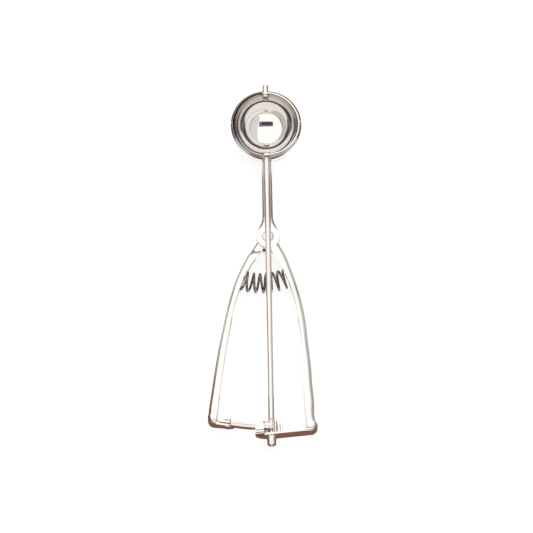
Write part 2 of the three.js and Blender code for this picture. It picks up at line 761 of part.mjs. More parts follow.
// The rack's strip with its teeth, as sections across it at each corner of the teeth.
function rackStrip() {
  const tip = rackPitchHeight - toothAddendum;
  const root = rackPitchHeight + rootDepth;
  const halfPitch = (toothPitch - backlash) / 4;
  const halfTip = halfPitch - toothAddendum * Math.tan(pressureAngle);
  const halfRoot = halfPitch + rootDepth * Math.tan(pressureAngle);
  const profile = [[halfRoot, root]];
  for (let tooth = 0; tooth < rackTeeth; tooth += 1) {
    const middle = -tooth * toothPitch;
    if (tooth) profile.push([middle + halfRoot, root]);
    profile.push([middle + halfTip, tip], [middle - halfTip, tip], [middle - halfRoot, root]);
  }
  const toothed = (rackTeeth - 1) * toothPitch + halfRoot;
  profile.push([-toothed - halfTip, tip]);
  for (let step = 1; step <= rackSteps; step += 1) {
    profile.push([THREE.MathUtils.lerp(-toothed - halfTip, -rackReach, step / rackSteps), tip]);
  }
  const near = rackRadius - rackWidth / 2;
  const far = rackRadius + rackWidth / 2;
  const sections = profile.map(([, height]) => [
    new THREE.Vector2(near, height), new THREE.Vector2(far, height),
    new THREE.Vector2(far, rackFront), new THREE.Vector2(near, rackFront),
  ]);
  return solid(loft(sections, (point, station) => {
    const spot = rackPoint(profile[station][0], point.x);
    return new THREE.Vector3(spot.x, spot.y, point.y);
  }));
}

// The rack: the toothed strip, the lug that is riveted to the tab, and the post between them.
function rack() {
  const under = (x) => tabUnder(x) + (sheet + gap) / Math.cos(tabSlope);
  const thick = sheet / Math.cos(tabSlope);
  const upright = (far, top) => plate([
    new THREE.Vector2(-far, under(-far)),
    new THREE.Vector2(-lugNear, under(-lugNear)),
    new THREE.Vector2(-lugNear, under(-lugNear) + thick),
    new THREE.Vector2(-far, under(-far) + thick),
  ], lugBack, top);
  const hole = rackRivetPin(rackRivetRadius + gap, 0, 3 * sheet + overrun);
  const lug = upright(lugFar, lugFront).subtract(hole);
  // The strip's root: it fills the corner between the strip and the post, in front of the tab.
  const inner = (x) => rackPoint(x, rackRadius);
  const root = plate([
    inner(-rackReach), inner(-lugNear),
    new THREE.Vector2(-lugNear, under(-lugNear) + thick),
    new THREE.Vector2(inner(-rackReach).x, under(-rackReach) + thick),
  ], rackPitchHeight - toothAddendum, rackFront);
  return joined([rackStrip(), lug, upright(rackReach, rackFront), root]);
}

// The rivet through the tab and the lug.
function rackRivet() {
  const headTop = 2 * sheet + 2 * gap;
  return joined([
    rackRivetPin(rackRivetHeadRadius, -gap - rackRivetTailHeight, -gap),
    rackRivetPin(rackRivetRadius, -gap, headTop),
    rackRivetPin(
      rackRivetHeadRadius, headTop, headTop + rackRivetHeadHeight,
      rackRivetHeadRadius * buttonTopShare),
  ]);
}

// Half the angle of a pinion tooth at a given radius, by the involute of its base circle.
function toothHalfAngle(radius) {
  const involute = (angle) => Math.tan(angle) - angle;
  const atPitch = (toothPitch / 2 - backlash / 2) / (2 * pitchRadius);
  const base = pitchRadius * Math.cos(pressureAngle);
  const angle = radius > base ? Math.acos(base / radius) : 0;
  return atPitch + involute(pressureAngle) - involute(angle);
}

// The pinion: involute teeth round a bore. A space between teeth faces the rack at rest.
function pinion() {
  const root = pitchRadius - rootDepth;
  const base = pitchRadius * Math.cos(pressureAngle);
  const tip = pitchRadius + toothAddendum;
  const radii = [root, ...Array.from({ length: flankSteps + 1 }, (_, step) => (
    THREE.MathUtils.lerp(base, tip, step / flankSteps)))];
  const outline = [];
  for (let tooth = 0; tooth < pinionTeeth; tooth += 1) {
    const middle = 2 * Math.PI * (tooth + 0.5) / pinionTeeth;
    const flank = radii.map((radius) => [radius, toothHalfAngle(radius)]);
    const rising = flank.map(([radius, half]) => [radius, middle - half]);
    const falling = flank.map(([radius, half]) => [radius, middle + half]).reverse();
    [...rising, ...falling].forEach(([radius, angle]) => {
      outline.push(new THREE.Vector2(radius * Math.cos(angle), radius * Math.sin(angle)));
    });
  }
  const bored = new THREE.Shape(outline);
  bored.holes.push(new THREE.Path(
    arc(0, 0, pinionBore, pinionBore, 2 * Math.PI, 0, smallSides).slice(0, smallSides)));
  const geometry = new THREE.ExtrudeGeometry(bored, {
    depth: pinionLength, bevelEnabled: false,
  });
  return geometry.rotateX(Math.PI / 2).translate(0, -pinionTop, 0);
}

// Distances along the spindle from the bowl's centre
const barDistance = -barUnder(0) / Math.cos(incline);
const pinionEnd = barDistance + pinionStub;
const pinionTop = pinionEnd - pinionLength;
const bladeInside = bladeRadius - bladeThickness;

// The spindle's rod: peened end inside the blade, journal in the bowl, rod, and the pinion's end.
function spindleRod() {
  const shoulder = bowlRadius + gap;
  const peen = bladeInside - gap;
  return joined([
    axisPin(peenRadius, -peen, peenLength - peen),
    axisPin(journalRadius, -shoulder - overrun, peenLength / 2 - peen),
    axisPin(rodRadius, gap - pinionTop, -shoulder),
    axisPin(rodEndRadius, -pinionEnd - rodNub, -pinionTop + overrun),
  ]);
}

// The blade: a strip of a spherical shell with a round tab at each end.
function scraperBlade() {
  const half = bladeWidth / 2;
  const tilt = Math.asin((half + bladeTopDrop - rimRise) / bladeRadius);
  const reach = bladeRadius + overrun;
  const shell = solid(ball(bladeRadius)).subtract(solid(ball(bladeInside)));
  const ends = bladeTabRadius;
  const outline = [
    ...arc(0, -ends, reach, half - ends, -Math.PI, 0, bowlSides / 4),
    ...arc(0, ends, reach, half - ends, 0, Math.PI, bowlSides / 4),
  ];
  const band = new THREE.ExtrudeGeometry(
    new THREE.Shape(outline), { depth: reach, bevelEnabled: false });
  // The outline's X runs along the spindle, its Y is the blade's width, and it reaches to the right.
  band.applyMatrix4(new THREE.Matrix4().makeBasis(
    new THREE.Vector3(0, 1, 0), new THREE.Vector3(0, 0, 1), new THREE.Vector3(1, 0, 0)));
  band.rotateY(tilt);
  const region = solid(band).add(axisPin(bladeTabRadius, -reach, reach, roundSides));
  const holes = [
    axisPin(journalRadius + gap, -reach, 0), axisPin(topPinRadius + gap, 0, reach),
  ];
  return cut(shell.intersect(region), holes);
}

// The pin that carries the blade at the bowl's far side.
function topPin() {
  const head = bladeInside - 2 * gap;
  return joined([
    axisPin(topPinHeadRadius, head - peenLength, head),
    axisPin(topPinRadius, head - peenLength / 2, bowlRadius + topPinReach),
  ]);
}

// The bowl: half a sphere with a slightly raised rim and two holes for the spindle and the pin.
function bowl() {
  const inside = bowlRadius - bowlWall;
  const rim = Math.asin(rimRise / bowlRadius);
  const innerRim = Math.asin(rimRise / inside);
  const profile = [
    ...arc(0, 0, bowlRadius, bowlRadius, -Math.PI / 2, rim, bowlArcSteps),
    ...arc(0, 0, inside, inside, innerRim, -Math.PI / 2, bowlArcSteps),
  ];
  profile[0].x = 0;
  profile.at(-1).x = 0;
  const shell = solid(new THREE.LatheGeometry(profile, bowlSides).rotateX(Math.PI / 2));
  const reach = bowlRadius + overrun;
  return cut(shell, [
    axisPin(journalRadius + gap, -reach, 0), axisPin(topPinRadius + gap, 0, reach),
  ]);
}

const wire = new THREE.Mesh(spring(), springSteel);
wire.name = 'spring';

const gear = new THREE.Mesh(pinion(), pressedSteel);
gear.name = 'pinion';

// Pieces on the spindle's axis share its slope.
const spindleGroup = new THREE.Group();
spindleGroup.position.z = bowlHeight;
spindleGroup.rotation.x = incline;
spindleGroup.add(
  piece('bowl', bowl(), polishedSteel),
  piece('spindle_rod', spindleRod(), polishedSteel),
  piece('scraper_blade', scraperBlade(), polishedSteel),
  piece('scraper_top_pin', topPin(), polishedSteel),
  gear,
);

const scoop = new THREE.Group();
scoop.add(
  piece('fixed_handle', fixedHandle(), pressedSteel),
  piece('squeeze_handle', squeezeHandle(), pressedSteel),
  piece('pivot_rivet', pivotRivet(), pressedSteel),
  piece('pivot_spacer', pivotSpacer(), pressedSteel),
  piece('spring_seat_fixed', springSeat(fixedArm), pressedSteel),
  piece('spring_seat_squeeze', springSeat(squeezeArm), pressedSteel),
  piece('rack', rack(), pressedSteel),
  piece('rack_rivet', rackRivet(), pressedSteel),
  wire,
  spindleGroup,
);

// The part's origin is at the middle of its underside.
const box = new THREE.Box3().setFromObject(scoop, true);
const middle = box.getCenter(new THREE.Vector3());
scoop.position.set(-middle.x, -middle.y, -box.min.z);
console.log('turns of the spindle for one of the handle:', (rackRadius / pitchRadius).toFixed(4));
console.log('shift, mm:', scoop.position.toArray().map((value) => value.toFixed(3)).join(' '));
console.log('size, mm:', box.getSize(new THREE.Vector3()).toArray()
  .map((value) => value.toFixed(2)).join(' '));

const part = new THREE.Group();
part.add(scoop);
export default part;
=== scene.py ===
# %% [markdown]
# # A squeeze-handle cookie scoop in polished steel
# The scoop lies on its back: two pressed channels meet at a domed rivet, a rod runs down the
# middle to a small pinion, and a strip blade turns inside a half-sphere bowl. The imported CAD
# model gives the places and sizes. Every visible piece is made again here as a smooth surface,
# because a mirror finish shows each flat facet of a coarse mesh.

# %% Load the frame
import json
import math
import bmesh
import bpy
import numpy as np
from mathutils import Matrix, Vector


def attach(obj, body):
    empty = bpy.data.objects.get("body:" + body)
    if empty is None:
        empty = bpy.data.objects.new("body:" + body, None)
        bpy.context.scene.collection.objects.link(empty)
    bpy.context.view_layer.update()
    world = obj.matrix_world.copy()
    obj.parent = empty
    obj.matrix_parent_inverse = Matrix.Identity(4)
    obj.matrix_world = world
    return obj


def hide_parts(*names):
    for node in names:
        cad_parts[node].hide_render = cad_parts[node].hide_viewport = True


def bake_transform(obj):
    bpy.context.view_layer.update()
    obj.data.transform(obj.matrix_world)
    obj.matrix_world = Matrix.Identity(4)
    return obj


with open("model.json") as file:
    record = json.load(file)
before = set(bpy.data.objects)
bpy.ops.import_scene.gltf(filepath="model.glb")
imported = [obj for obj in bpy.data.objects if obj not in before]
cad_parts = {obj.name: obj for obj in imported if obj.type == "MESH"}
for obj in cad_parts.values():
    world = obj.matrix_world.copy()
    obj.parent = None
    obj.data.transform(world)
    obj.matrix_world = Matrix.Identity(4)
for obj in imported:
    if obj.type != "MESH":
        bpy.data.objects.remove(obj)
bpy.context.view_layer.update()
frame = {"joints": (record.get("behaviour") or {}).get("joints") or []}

# %% [markdown]
# ## Where things are
# The sizes are in millimetres, in a frame of the scoop's own: X 0 is the plane of the rod,
# Y 0 is the middle of the bowl and Z 0 is the table. The pivot's place in the CAD frame ties
# the two frames together. Another way would be to model in metres straight away, but small
# hardware is easier to check in millimetres.

# %% Frame and shared sizes
MM = 0.001
PIVOT_TO_BOWL = 63.1
PIVOT_Y = -PIVOT_TO_BOWL
pivot = frame["joints"][0]["pos_m"]
ORIGIN = np.array([pivot[0] / MM, pivot[1] / MM + PIVOT_TO_BOWL, 0.0])

SHEET, GAP, PROUD, BEND_RADIUS = 1.3, 0.3, 0.02, 2.6
SHEAR_EDGE, FOLD_EDGE, CUT_EDGE = 0.22, 0.2, 0.1
ARM_DEPTH, LOBE_RADIUS, BACK_LOBE_LOW = 12.0, 6.5, 1.5
BOWL_RADIUS, RIM_RISE, RIM_WALL, RIM_LIP, RIM_BEVEL = 19.5, 2.4, 0.95, 0.06, 1.5
FIXED_LENGTH, ROD_RADIUS, ROD_AT_PIVOT, ROD_AT_BAR = 114.3, 1.63, 15.575, 8.46
INCLINE = math.atan((ROD_AT_PIVOT - ROD_AT_BAR) / FIXED_LENGTH)
BOWL_HEIGHT = ROD_AT_PIVOT + PIVOT_TO_BOWL * math.tan(INCLINE)
print("slope of the rod, degrees:", round(math.degrees(INCLINE), 3))


def placed(points):
    """Millimetres of the scoop's own frame to metres of the CAD frame: add the origin, scale."""
    return (np.asarray(points, float) + ORIGIN) * MM


def on_spindle(points):
    """Turns points about X by the rod's slope and lifts them to the bowl's height."""
    x, y, z = np.moveaxis(np.asarray(points, float), -1, 0)
    cos, sin = math.cos(INCLINE), math.sin(INCLINE)
    return np.stack([x, y * cos - z * sin, y * sin + z * cos + BOWL_HEIGHT], axis=-1)


# %% [markdown]
# ## From a grid to a mesh
# Most pieces are a grid of points: rows along the piece, columns round it. One function turns
# the grid into quads as whole arrays. Poles are rows whose points all fall together, so doubles
# are merged before the normals are set. Smooth shading with sharp edges by angle keeps flat
# faces flat and bends round. Subdivision would also give smooth shapes, but it would shrink
# the outline away from the CAD sizes.

# %% Grid to mesh
DOUBLE = 1e-7
SHARP_ANGLE = math.radians(38)
BEVEL_STEPS = 3


def grid_quads(rows, columns, wrap_rows=False, wrap_columns=False):
    """Quads of a grid: (i, j), (i+1, j), (i+1, j+1), (i, j+1), wrapped where the grid closes."""
    i = np.arange(rows if wrap_rows else rows - 1)
    j = np.arange(columns if wrap_columns else columns - 1)
    i, j = (part.ravel() for part in np.meshgrid(i, j, indexing="ij"))
    down, right = (i + 1) % rows, (j + 1) % columns
    return np.stack([i * columns + j, down * columns + j, down * columns + right,
                     i * columns + right], axis=1)


def linked(name, data):
    """An object of a mesh, a lamp or a camera, put into the scene."""
    made = bpy.data.objects.new(name, data)
    bpy.context.scene.collection.objects.link(made)
    return made


def finished(name, points, faces, material, body, slot, nodes, bevel=0.0, inside=None,
             sharp=SHARP_ANGLE):
    """Makes the closed mesh, points its faces outwards, and ties it to its body and CAD nodes.
    inside is a second material and the range of faces that takes it."""
    mesh = bpy.data.meshes.new(name)
    mesh.from_pydata(placed(points).tolist(), [], faces)
    work = bmesh.new()
    work.from_mesh(mesh)
    bmesh.ops.remove_doubles(work, verts=work.verts, dist=DOUBLE)
    bmesh.ops.recalc_face_normals(work, faces=work.faces)
    work.to_mesh(mesh)
    work.free()
    mesh.materials.append(material)
    if inside:
        mesh.materials.append(inside[0])
        which = np.zeros(len(mesh.polygons), np.int32)
        which[inside[1]:inside[2]] = 1
        mesh.polygons.foreach_set("material_index", which)
    mesh.shade_smooth()
    mesh.set_sharp_from_angle(angle=sharp)
    made = linked(name, mesh)
    if bevel:
        edge = made.modifiers.new("edge", "BEVEL")
        edge.width = bevel * MM
        edge.segments = BEVEL_STEPS
        edge.limit_method = "ANGLE"
        edge.angle_limit = SHARP_ANGLE
        edge.harden_normals = True
    if body:
        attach(made, body)
    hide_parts(*nodes)
    print(name, len(mesh.vertices), "points")
    return made


def tube(rows, wrap_rows=False):
    """Points and faces of a grid whose columns wrap: a lathe piece that ends in poles, or a
    ring whose rows wrap too."""
    return rows.reshape(-1, 3), grid_quads(*rows.shape[:2], wrap_rows, True).tolist()


def loft(rows):
    """A tube with a flat cap on both ends."""
    points, faces = tube(rows)
    columns = rows.shape[1]
    caps = [list(range(columns)), list(range(len(points) - columns, len(points)))]
    return points, faces + caps


def skin(outer, inner):
    """Points and faces of a sheet between two grids, with its four rims closed by quads."""
    rows, columns = outer.shape[:2]
    size = rows * columns
    quads = grid_quads(rows, columns)
    index = np.arange(size).reshape(rows, columns)
    rim = np.concatenate([index[0, :-1], index[:-1, -1], index[-1, :0:-1], index[:0:-1, 0]])
    after = np.roll(rim, -1)
    rims = np.stack([rim, after, after + size, rim + size], axis=1)
    faces = np.concatenate([quads, quads[:, ::-1] + size, rims])
    points = np.concatenate([outer.reshape(-1, 3), inner.reshape(-1, 3)])
    return points, faces.tolist()


def inset(outer, thickness):
    """Moves each point along the grid's normal (cross product of its two slopes) by the
    thickness, to the side on which the middle of its row lies."""
    along, across = np.gradient(outer, axis=0), np.gradient(outer, axis=1)
    normal = np.cross(along, across)
    normal /= np.linalg.norm(normal, axis=2, keepdims=True)
    middle = outer.mean(axis=1, keepdims=True)
    side = np.sign(np.sum(normal * (middle - outer)))
    return outer + side * thickness * normal


# %% Profiles
def arc(centre, radii, start, end, steps):
    """Points of an ellipse's arc: centre + (rx cos t, ry sin t), t from start to end."""
    t = np.linspace(start, end, steps + 1)
    return np.stack([centre[0] + radii[0] * np.cos(t), centre[1] + radii[1] * np.sin(t)], axis=1)


CORNER_SHARE, TINY = 0.45, 1e-9


def eased(points, size, steps=4, closed=False):
    """Rounds each corner C of an outline: a curve (1-t)^2 A + 2t(1-t) C + t^2 B, with A and B
    on the two sides, size away from C or at most a share of the side. Open ends stay put."""
    points = np.asarray(points, float)
    before, after = np.roll(points, 1, axis=0), np.roll(points, -1, axis=0)

    def towards(other):
        way = other - points
        length = np.maximum(np.linalg.norm(way, axis=1, keepdims=True), TINY)
        return points + way / length * np.minimum(size, CORNER_SHARE * length)

    a, b = towards(before), towards(after)
    if not closed:
        a[0] = b[0] = points[0]
        a[-1] = b[-1] = points[-1]
    t = np.linspace(0, 1, steps + 1)[None, :, None]
    curve = (1 - t) ** 2 * a[:, None] + 2 * t * (1 - t) * points[:, None] + t ** 2 * b[:, None]
    return curve.reshape(-1, 2)


def turned(profile, sides=64):
    """A lathe about Z: profile rows are (radius, height); each is swung by the angle t."""
    t = np.linspace(0, 2 * math.pi, sides, endpoint=False)
    radius, height = profile[:, :1], profile[:, 1:]
    return np.stack([radius * np.cos(t), radius * np.sin(t),
                     np.broadcast_to(height, (len(profile), sides))], axis=2)


def upright(outline, low, high):
    """An outline in two coordinates, repeated at a low and a high third one: two rows."""
    flat = np.asarray(outline, float)
    return np.stack([np.column_stack([flat, np.full(len(flat), third)]) for third in (low, high)])


# %% [markdown]
# ## Steel
# All the pieces are stainless steel, but each was made in its own way: the bowl and the
# handles are pressed and mirror polished, the rod is drawn, the pinion and rack are cut, and
# the spring wire's colour is painted darker and brown, a painted reflection of its brown
# surroundings. Polished steel is a metal with a low roughness. What makes it look real is
# small: faint wipe marks that vary the roughness, and polishing lines too fine to count. A
# Noise texture on Object coordinates gives both and stays put in every view.

# %% Material helpers
def linear(code):
    """An sRGB hex code to linear colour: ((c + 0.055) / 1.055) ^ 2.4, or c / 12.92 when dark."""
    values = [int(code[start:start + 2], 16) / 255 for start in (0, 2, 4)]
    return [v / 12.92 if v <= 0.04045 else ((v + 0.055) / 1.055) ** 2.4 for v in values] + [1.0]


def node(tree, kind, inputs=(), **settings):
    """Adds a node, sets its settings, and fills its inputs with values or links."""
    made = tree.nodes.new(kind)
    for name, value in settings.items():
        setattr(made, name, value)
    for name, value in dict(inputs).items():
        if isinstance(value, bpy.types.NodeSocket):
            tree.links.new(value, made.inputs[name])
        else:
            made.inputs[name].default_value = value
    return made


def blank_material(name):
    """A material and its node tree, emptied."""
    material = bpy.data.materials.new(name)
    material.use_nodes = True
    material.node_tree.nodes.clear()
    return material, material.node_tree


def colour_mix(tree, factor, a, b):
    """The colour output of a Mix node; its first output is a number, so it is found by type."""
    made = node(tree, "ShaderNodeMix", {"Factor": factor, "A": a, "B": b}, data_type="RGBA")
    return next(out for out in made.outputs if out.type == "RGBA")


WIPE_SIZE, WIPE_DETAIL, WIPE_SOFTNESS, WIPE_RANGE = 6.0, 4.0, 0.6, (0.3, 0.7)
LINE_HEIGHT, LINE_DETAIL = 0.02, 3.0


def steel(name, light, dark, smooth, rough, line_mm, line_depth, stretch=(1.0, 1.0, 1.0)):
    """Steel whose colour and roughness drift between two values with the wipe marks. Polishing
    lines are line_mm apart, drawn out by stretch, and line_depth strong."""
    material, tree = blank_material(name)
    place = node(tree, "ShaderNodeTexCoord").outputs["Object"]
    wipes = node(tree, "ShaderNodeTexNoise", {
        "Vector": place, "Scale": 1 / (WIPE_SIZE * MM), "Detail": WIPE_DETAIL,
        "Roughness": WIPE_SOFTNESS}).outputs["Fac"]
    gloss = node(tree, "ShaderNodeMapRange", {
        "Value": wipes, "From Min": WIPE_RANGE[0], "From Max": WIPE_RANGE[1],
        "To Min": smooth, "To Max": rough})
    drawn = node(tree, "ShaderNodeMapping", {"Vector": place, "Scale": stretch})
    lines = node(tree, "ShaderNodeTexNoise", {
        "Vector": drawn.outputs["Vector"], "Scale": 1 / (line_mm * MM), "Detail": LINE_DETAIL})
    bump = node(tree, "ShaderNodeBump", {
        "Height": lines.outputs["Fac"], "Strength": line_depth, "Distance": LINE_HEIGHT * MM})
    shader = node(tree, "ShaderNodeBsdfPrincipled", {
        "Metallic": 1.0, "Base Color": colour_mix(tree, wipes, linear(light), linear(dark)),
        "Roughness": gloss.outputs["Result"], "Normal": bump.outputs["Normal"]})
    node(tree, "ShaderNodeOutputMaterial", {"Surface": shader.outputs["BSDF"]})
    return material


# %% The steels
# Mirror polish: sharp reflections, wipe marks only.
mirror_steel = steel("mirror_polished_stainless", "E6E3E0", "DEDAD6", 0.05, 0.09, 0.4, 0.02)
# Pressed and tumbled: a little softer, with lines along the handles.
pressed_steel = steel("pressed_polished_stainless", "E8E6E2", "DFDCD8", 0.07, 0.14, 0.3, 0.06,
                      (1.0, 0.08, 1.0))
# The inside of a pressing isn't buffed: it keeps the mill's dull, even finish.
mill_steel = steel("mill_finish_stainless", "F1EFEC", "E6E3E0", 0.34, 0.46, 0.25, 0.1)
# The blade's strip is rolled and left as it is, so it blurs what it mirrors.
rolled_steel = steel("rolled_stainless_strip", "EDEAE7", "E2DFDB", 0.2, 0.28, 0.3, 0.08)
# Turned heads: polished, nearly as bright as the bowl.
turned_steel = steel("turned_polished_stainless", "E2DEDA", "D6D1CC", 0.06, 0.12, 0.3, 0.05)
# Drawn rod: fine lines along its length.
drawn_steel = steel("drawn_polished_stainless", "E4E0DD", "DAD5D1", 0.05, 0.1, 0.3, 0.05,
                    (1.0, 0.05, 1.0))
# Cut gear steel: satin, with the fine marks of the cutter.
cut_steel = steel("cut_satin_stainless", "E6E3E0", "DAD6D2", 0.10, 0.18, 0.25, 0.12)
# Spring wire, drawn and heat-set. Its colour is a painted reflection: dark and a little brown, for
# the brown surroundings that its round sides mirror.
spring_steel = steel("spring_wire_painted_brown_reflection", "A69389", "4C3E37", 0.05, 0.1, 0.35, 0.06)

# %% [markdown]
# ## The bowl
# A disher's bowl is half a sphere pressed from thin sheet, with its rim a little above the
# middle and bevelled on the outside, so that it cuts. A UV sphere cut in half would do, but a
# lathe profile gives the wall's thickness and the rim in one closed surface.

# %% Bowl
BOWL_STEPS, BOWL_SIDES = 72, 160
LIP_FROM, LIP_PARTS, BEVEL_PARTS = math.radians(35), 8, 5


def bowl():
    """Profile: outer arc from the bottom pole to the bevel, a straight bevel, a small round over
    the wall's edge, inner arc back to the pole; swung round the bowl's own upright axis."""
    quarter = math.pi / 2
    inside = BOWL_RADIUS - RIM_WALL
    top = math.asin((RIM_RISE - RIM_BEVEL) / BOWL_RADIUS)
    top_inside = math.asin((RIM_RISE - RIM_LIP) / inside)
    outer = arc((0, 0), (BOWL_RADIUS, BOWL_RADIUS), -quarter, top, BOWL_STEPS)
    inner = arc((0, 0), (inside, inside), top_inside, -quarter, BOWL_STEPS)
    lip = arc((inner[0, 0] + RIM_LIP, RIM_RISE - RIM_LIP), (RIM_LIP, RIM_LIP), LIP_FROM, math.pi,
              LIP_PARTS)[:-1]
    bevel = outer[-1] + (lip[0] - outer[-1]) * np.linspace(0, 1, BEVEL_PARTS + 1)[1:-1, None]
    profile = np.concatenate([outer, bevel, lip, inner])
    profile[[0, -1], 0] = 0
    return on_spindle(turned(profile, BOWL_SIDES))


finished("bowl_shell", *tube(bowl()), mirror_steel, "frame", "bowl_steel", ["bowl"])

# %% [markdown]
# ## The arms
# Each arm is a channel pressed from 1.3 mm sheet, open towards the rod. Its edges are smooth
# curves, wide at the bottom. A section with two round bends is carried down the arm, and at
# the corner it swings about the end of the flanges' edge, so that the web wraps round into the
# bar. The wall goes inwards from that surface. An extruded outline with bevels would be quicker,
# but its bends would not follow both curves at once.

# %% Edges of the arms
SQUEEZE_SHORTER, FIXED_SPREAD, SQUEEZE_SPREAD = 5.3, 25.2, 34.7
BAR_SLOPE, TAB_SLOPE = math.radians(5.2), math.radians(-6.2)
STEP = (7.2, 11.0)
FIXED_OUTER = [(0.02, 0.193), (0.088, 0.361), (0.166, 0.492), (0.31, 0.683), (0.448, 0.793),
               (0.534, 0.826), (0.674, 0.885), (0.77, 0.907), (0.85, 0.937), (0.935, 0.945),
               (0.965, 0.98), (1, 1)]
FIXED_INNER = [(0.02, -0.051), (0.088, 0.115), (0.166, 0.31), (0.31, 0.543), (0.448, 0.651),
               (0.8, 0.722), (0.91, 0.75), (1, 0.778)]
SQUEEZE_OUTER = [(0.02, 0.179), (0.092, 0.32), (0.174, 0.453), (0.222, 0.518), (0.312, 0.611),
                 (0.495, 0.749), (0.697, 0.87), (0.84, 0.939), (0.945, 0.988), (1, 1)]
SQUEEZE_INNER = [(0.02, 0), (0.092, 0.15), (0.174, 0.329), (0.26, 0.444), (0.321, 0.51),
                 (0.499, 0.644), (0.62, 0.71), (0.84, 0.812), (0.954, 0.855), (1, 0.872)]


def smoothstep(value, start, end):
    """0 before start, 1 after end, and 3t^2 - 2t^3 between."""
    t = np.clip((np.asarray(value, float) - start) / (end - start), 0, 1)
    return t * t * (3 - 2 * t)


def edge_curve(shares, length, spread):
    """A cubic through the given points with slopes from central differences (Hermite)."""
    x, y = np.array(shares, float).T * np.array([[length], [spread]])
    slope = np.gradient(y, x)

    def at(drop):
        drop = np.asarray(drop, float)
        i = np.clip(np.searchsorted(x, drop) - 1, 0, len(x) - 2)
        width = x[i + 1] - x[i]
        t = np.clip((drop - x[i]) / width, 0, 1)
        return ((2 * t ** 3 - 3 * t ** 2 + 1) * y[i] + (t ** 3 - 2 * t ** 2 + t) * width * slope[i]
                + (3 * t ** 2 - 2 * t ** 3) * y[i + 1] + (t ** 3 - t ** 2) * width * slope[i + 1])

    return at


def arm_sizes(side, length, spread, slope, outer, inner, starts, low, high):
    """An arm's sizes. Down from the pivot its back and front go from the lobe's heights to the
    full depth; starts are where the flanges and the web begin."""
    return {"side": side, "length": length, "slope": slope, "starts": starts,
            "outer": edge_curve(outer, length, spread), "inner": edge_curve(inner, length, spread),
            "low": lambda drop: low * (1 - smoothstep(drop, *STEP)),
            "high": lambda drop: high + (ARM_DEPTH - high) * smoothstep(drop, *STEP)}


INNER_FRONT_HIGH = ARM_DEPTH - SHEET - GAP
INNER_BACK_LOW = BACK_LOBE_LOW + SHEET + GAP
fixed_arm = arm_sizes(1, FIXED_LENGTH, FIXED_SPREAD, BAR_SLOPE, FIXED_OUTER, FIXED_INNER,
                      (2.0, 5.2), BACK_LOBE_LOW, ARM_DEPTH)
squeeze_arm = arm_sizes(-1, FIXED_LENGTH - SQUEEZE_SHORTER, SQUEEZE_SPREAD, TAB_SLOPE,
                        SQUEEZE_OUTER, SQUEEZE_INNER, (0.6, 0.8), INNER_BACK_LOW,
                        INNER_FRONT_HIGH)

# %% Corners and undersides
CORNER_RADIUS, CORNER_LIFT, CORNER_STEPS, SEAM = 4.5, 2.4, 26, 0.15


def corner_of(arm):
    """Where the arm's corner would be if it were sharp, in X and Y."""
    return np.array([arm["side"] * float(arm["outer"](arm["length"])), PIVOT_Y - arm["length"]])


def underside(arm, x):
    """The underside's Y at X: the corner's Y plus the slope times the distance to the corner."""
    corner = corner_of(arm)
    return corner[1] + (x - corner[0]) * math.tan(arm["slope"])


def corner_centre(arm):
    """The centre of the corner's round: a radius inwards from the wall and from the underside."""
    x = corner_of(arm)[0] - arm["side"] * CORNER_RADIUS
    return np.array([x, underside(arm, x) + CORNER_RADIUS / math.cos(arm["slope"])])


def flange_tip(arm):
    """Where the flanges' edge ends at the corner: a bend's radius above the underside."""
    x = arm["side"] * float(arm["inner"](arm["length"]))
    return np.array([x, underside(arm, x) + BEND_RADIUS / math.cos(arm["slope"]) + SEAM])


# %% Channel
LIP_STEPS, BEND_STEPS, WEB_STEPS, ARM_ROWS = 7, 10, 6, 150
ROW_CROWDING = 1.4
WEB_SHARE = (0.2, 0.42)
RELIEF, RELIEF_SPAN, SHORTEST = 3.2, (3.0, 7.0, 34.0, 46.0), 0.85
UNDER_STEPS, ROUND_PART, FIRST_SWING = 6, 0.9, 0.06
FIXED = (pressed_steel, "frame", "handle_steel", ["fixed_handle"])
SQUEEZE = (pressed_steel, "squeeze", "handle_steel", ["squeeze_handle"])


def section(web, stretch, low, high, cut=0.0):
    """Rows of an outline from the front lip round the web to the back lip: flange, quarter
    circle, web, quarter circle, flange. Across, a point is a share of the flange, of the bend
    (stretched where the wall slants) and of the back flange's end, cut short by the relief. In
    height it is a share of the way down and of the bend's radius."""
    t = np.linspace(0, 1, LIP_STEPS)
    first = np.linspace(0, math.pi / 2, BEND_STEPS + 1)[1:]
    second = first - first[0]
    down = np.linspace(0, 1, WEB_STEPS + 1)[1:-1]
    parts = ((t, 0, 0, 0, 0), (1, np.sin(first), 0, 0, np.cos(first) - 1),
             (1, 1, 0, down, 2 * down - 1), (1, np.cos(second), 0, 1, 1 - np.sin(second)),
             (1 - t, 0, t, 1, 0))
    flange, bend, back, fall, lift = np.hstack([np.broadcast_arrays(*part) for part in parts])
    start = web - BEND_RADIUS * stretch
    x = start * flange + BEND_RADIUS * stretch * bend + np.minimum(cut, SHORTEST * start) * back
    return x, high + (low - high) * fall + BEND_RADIUS * lift


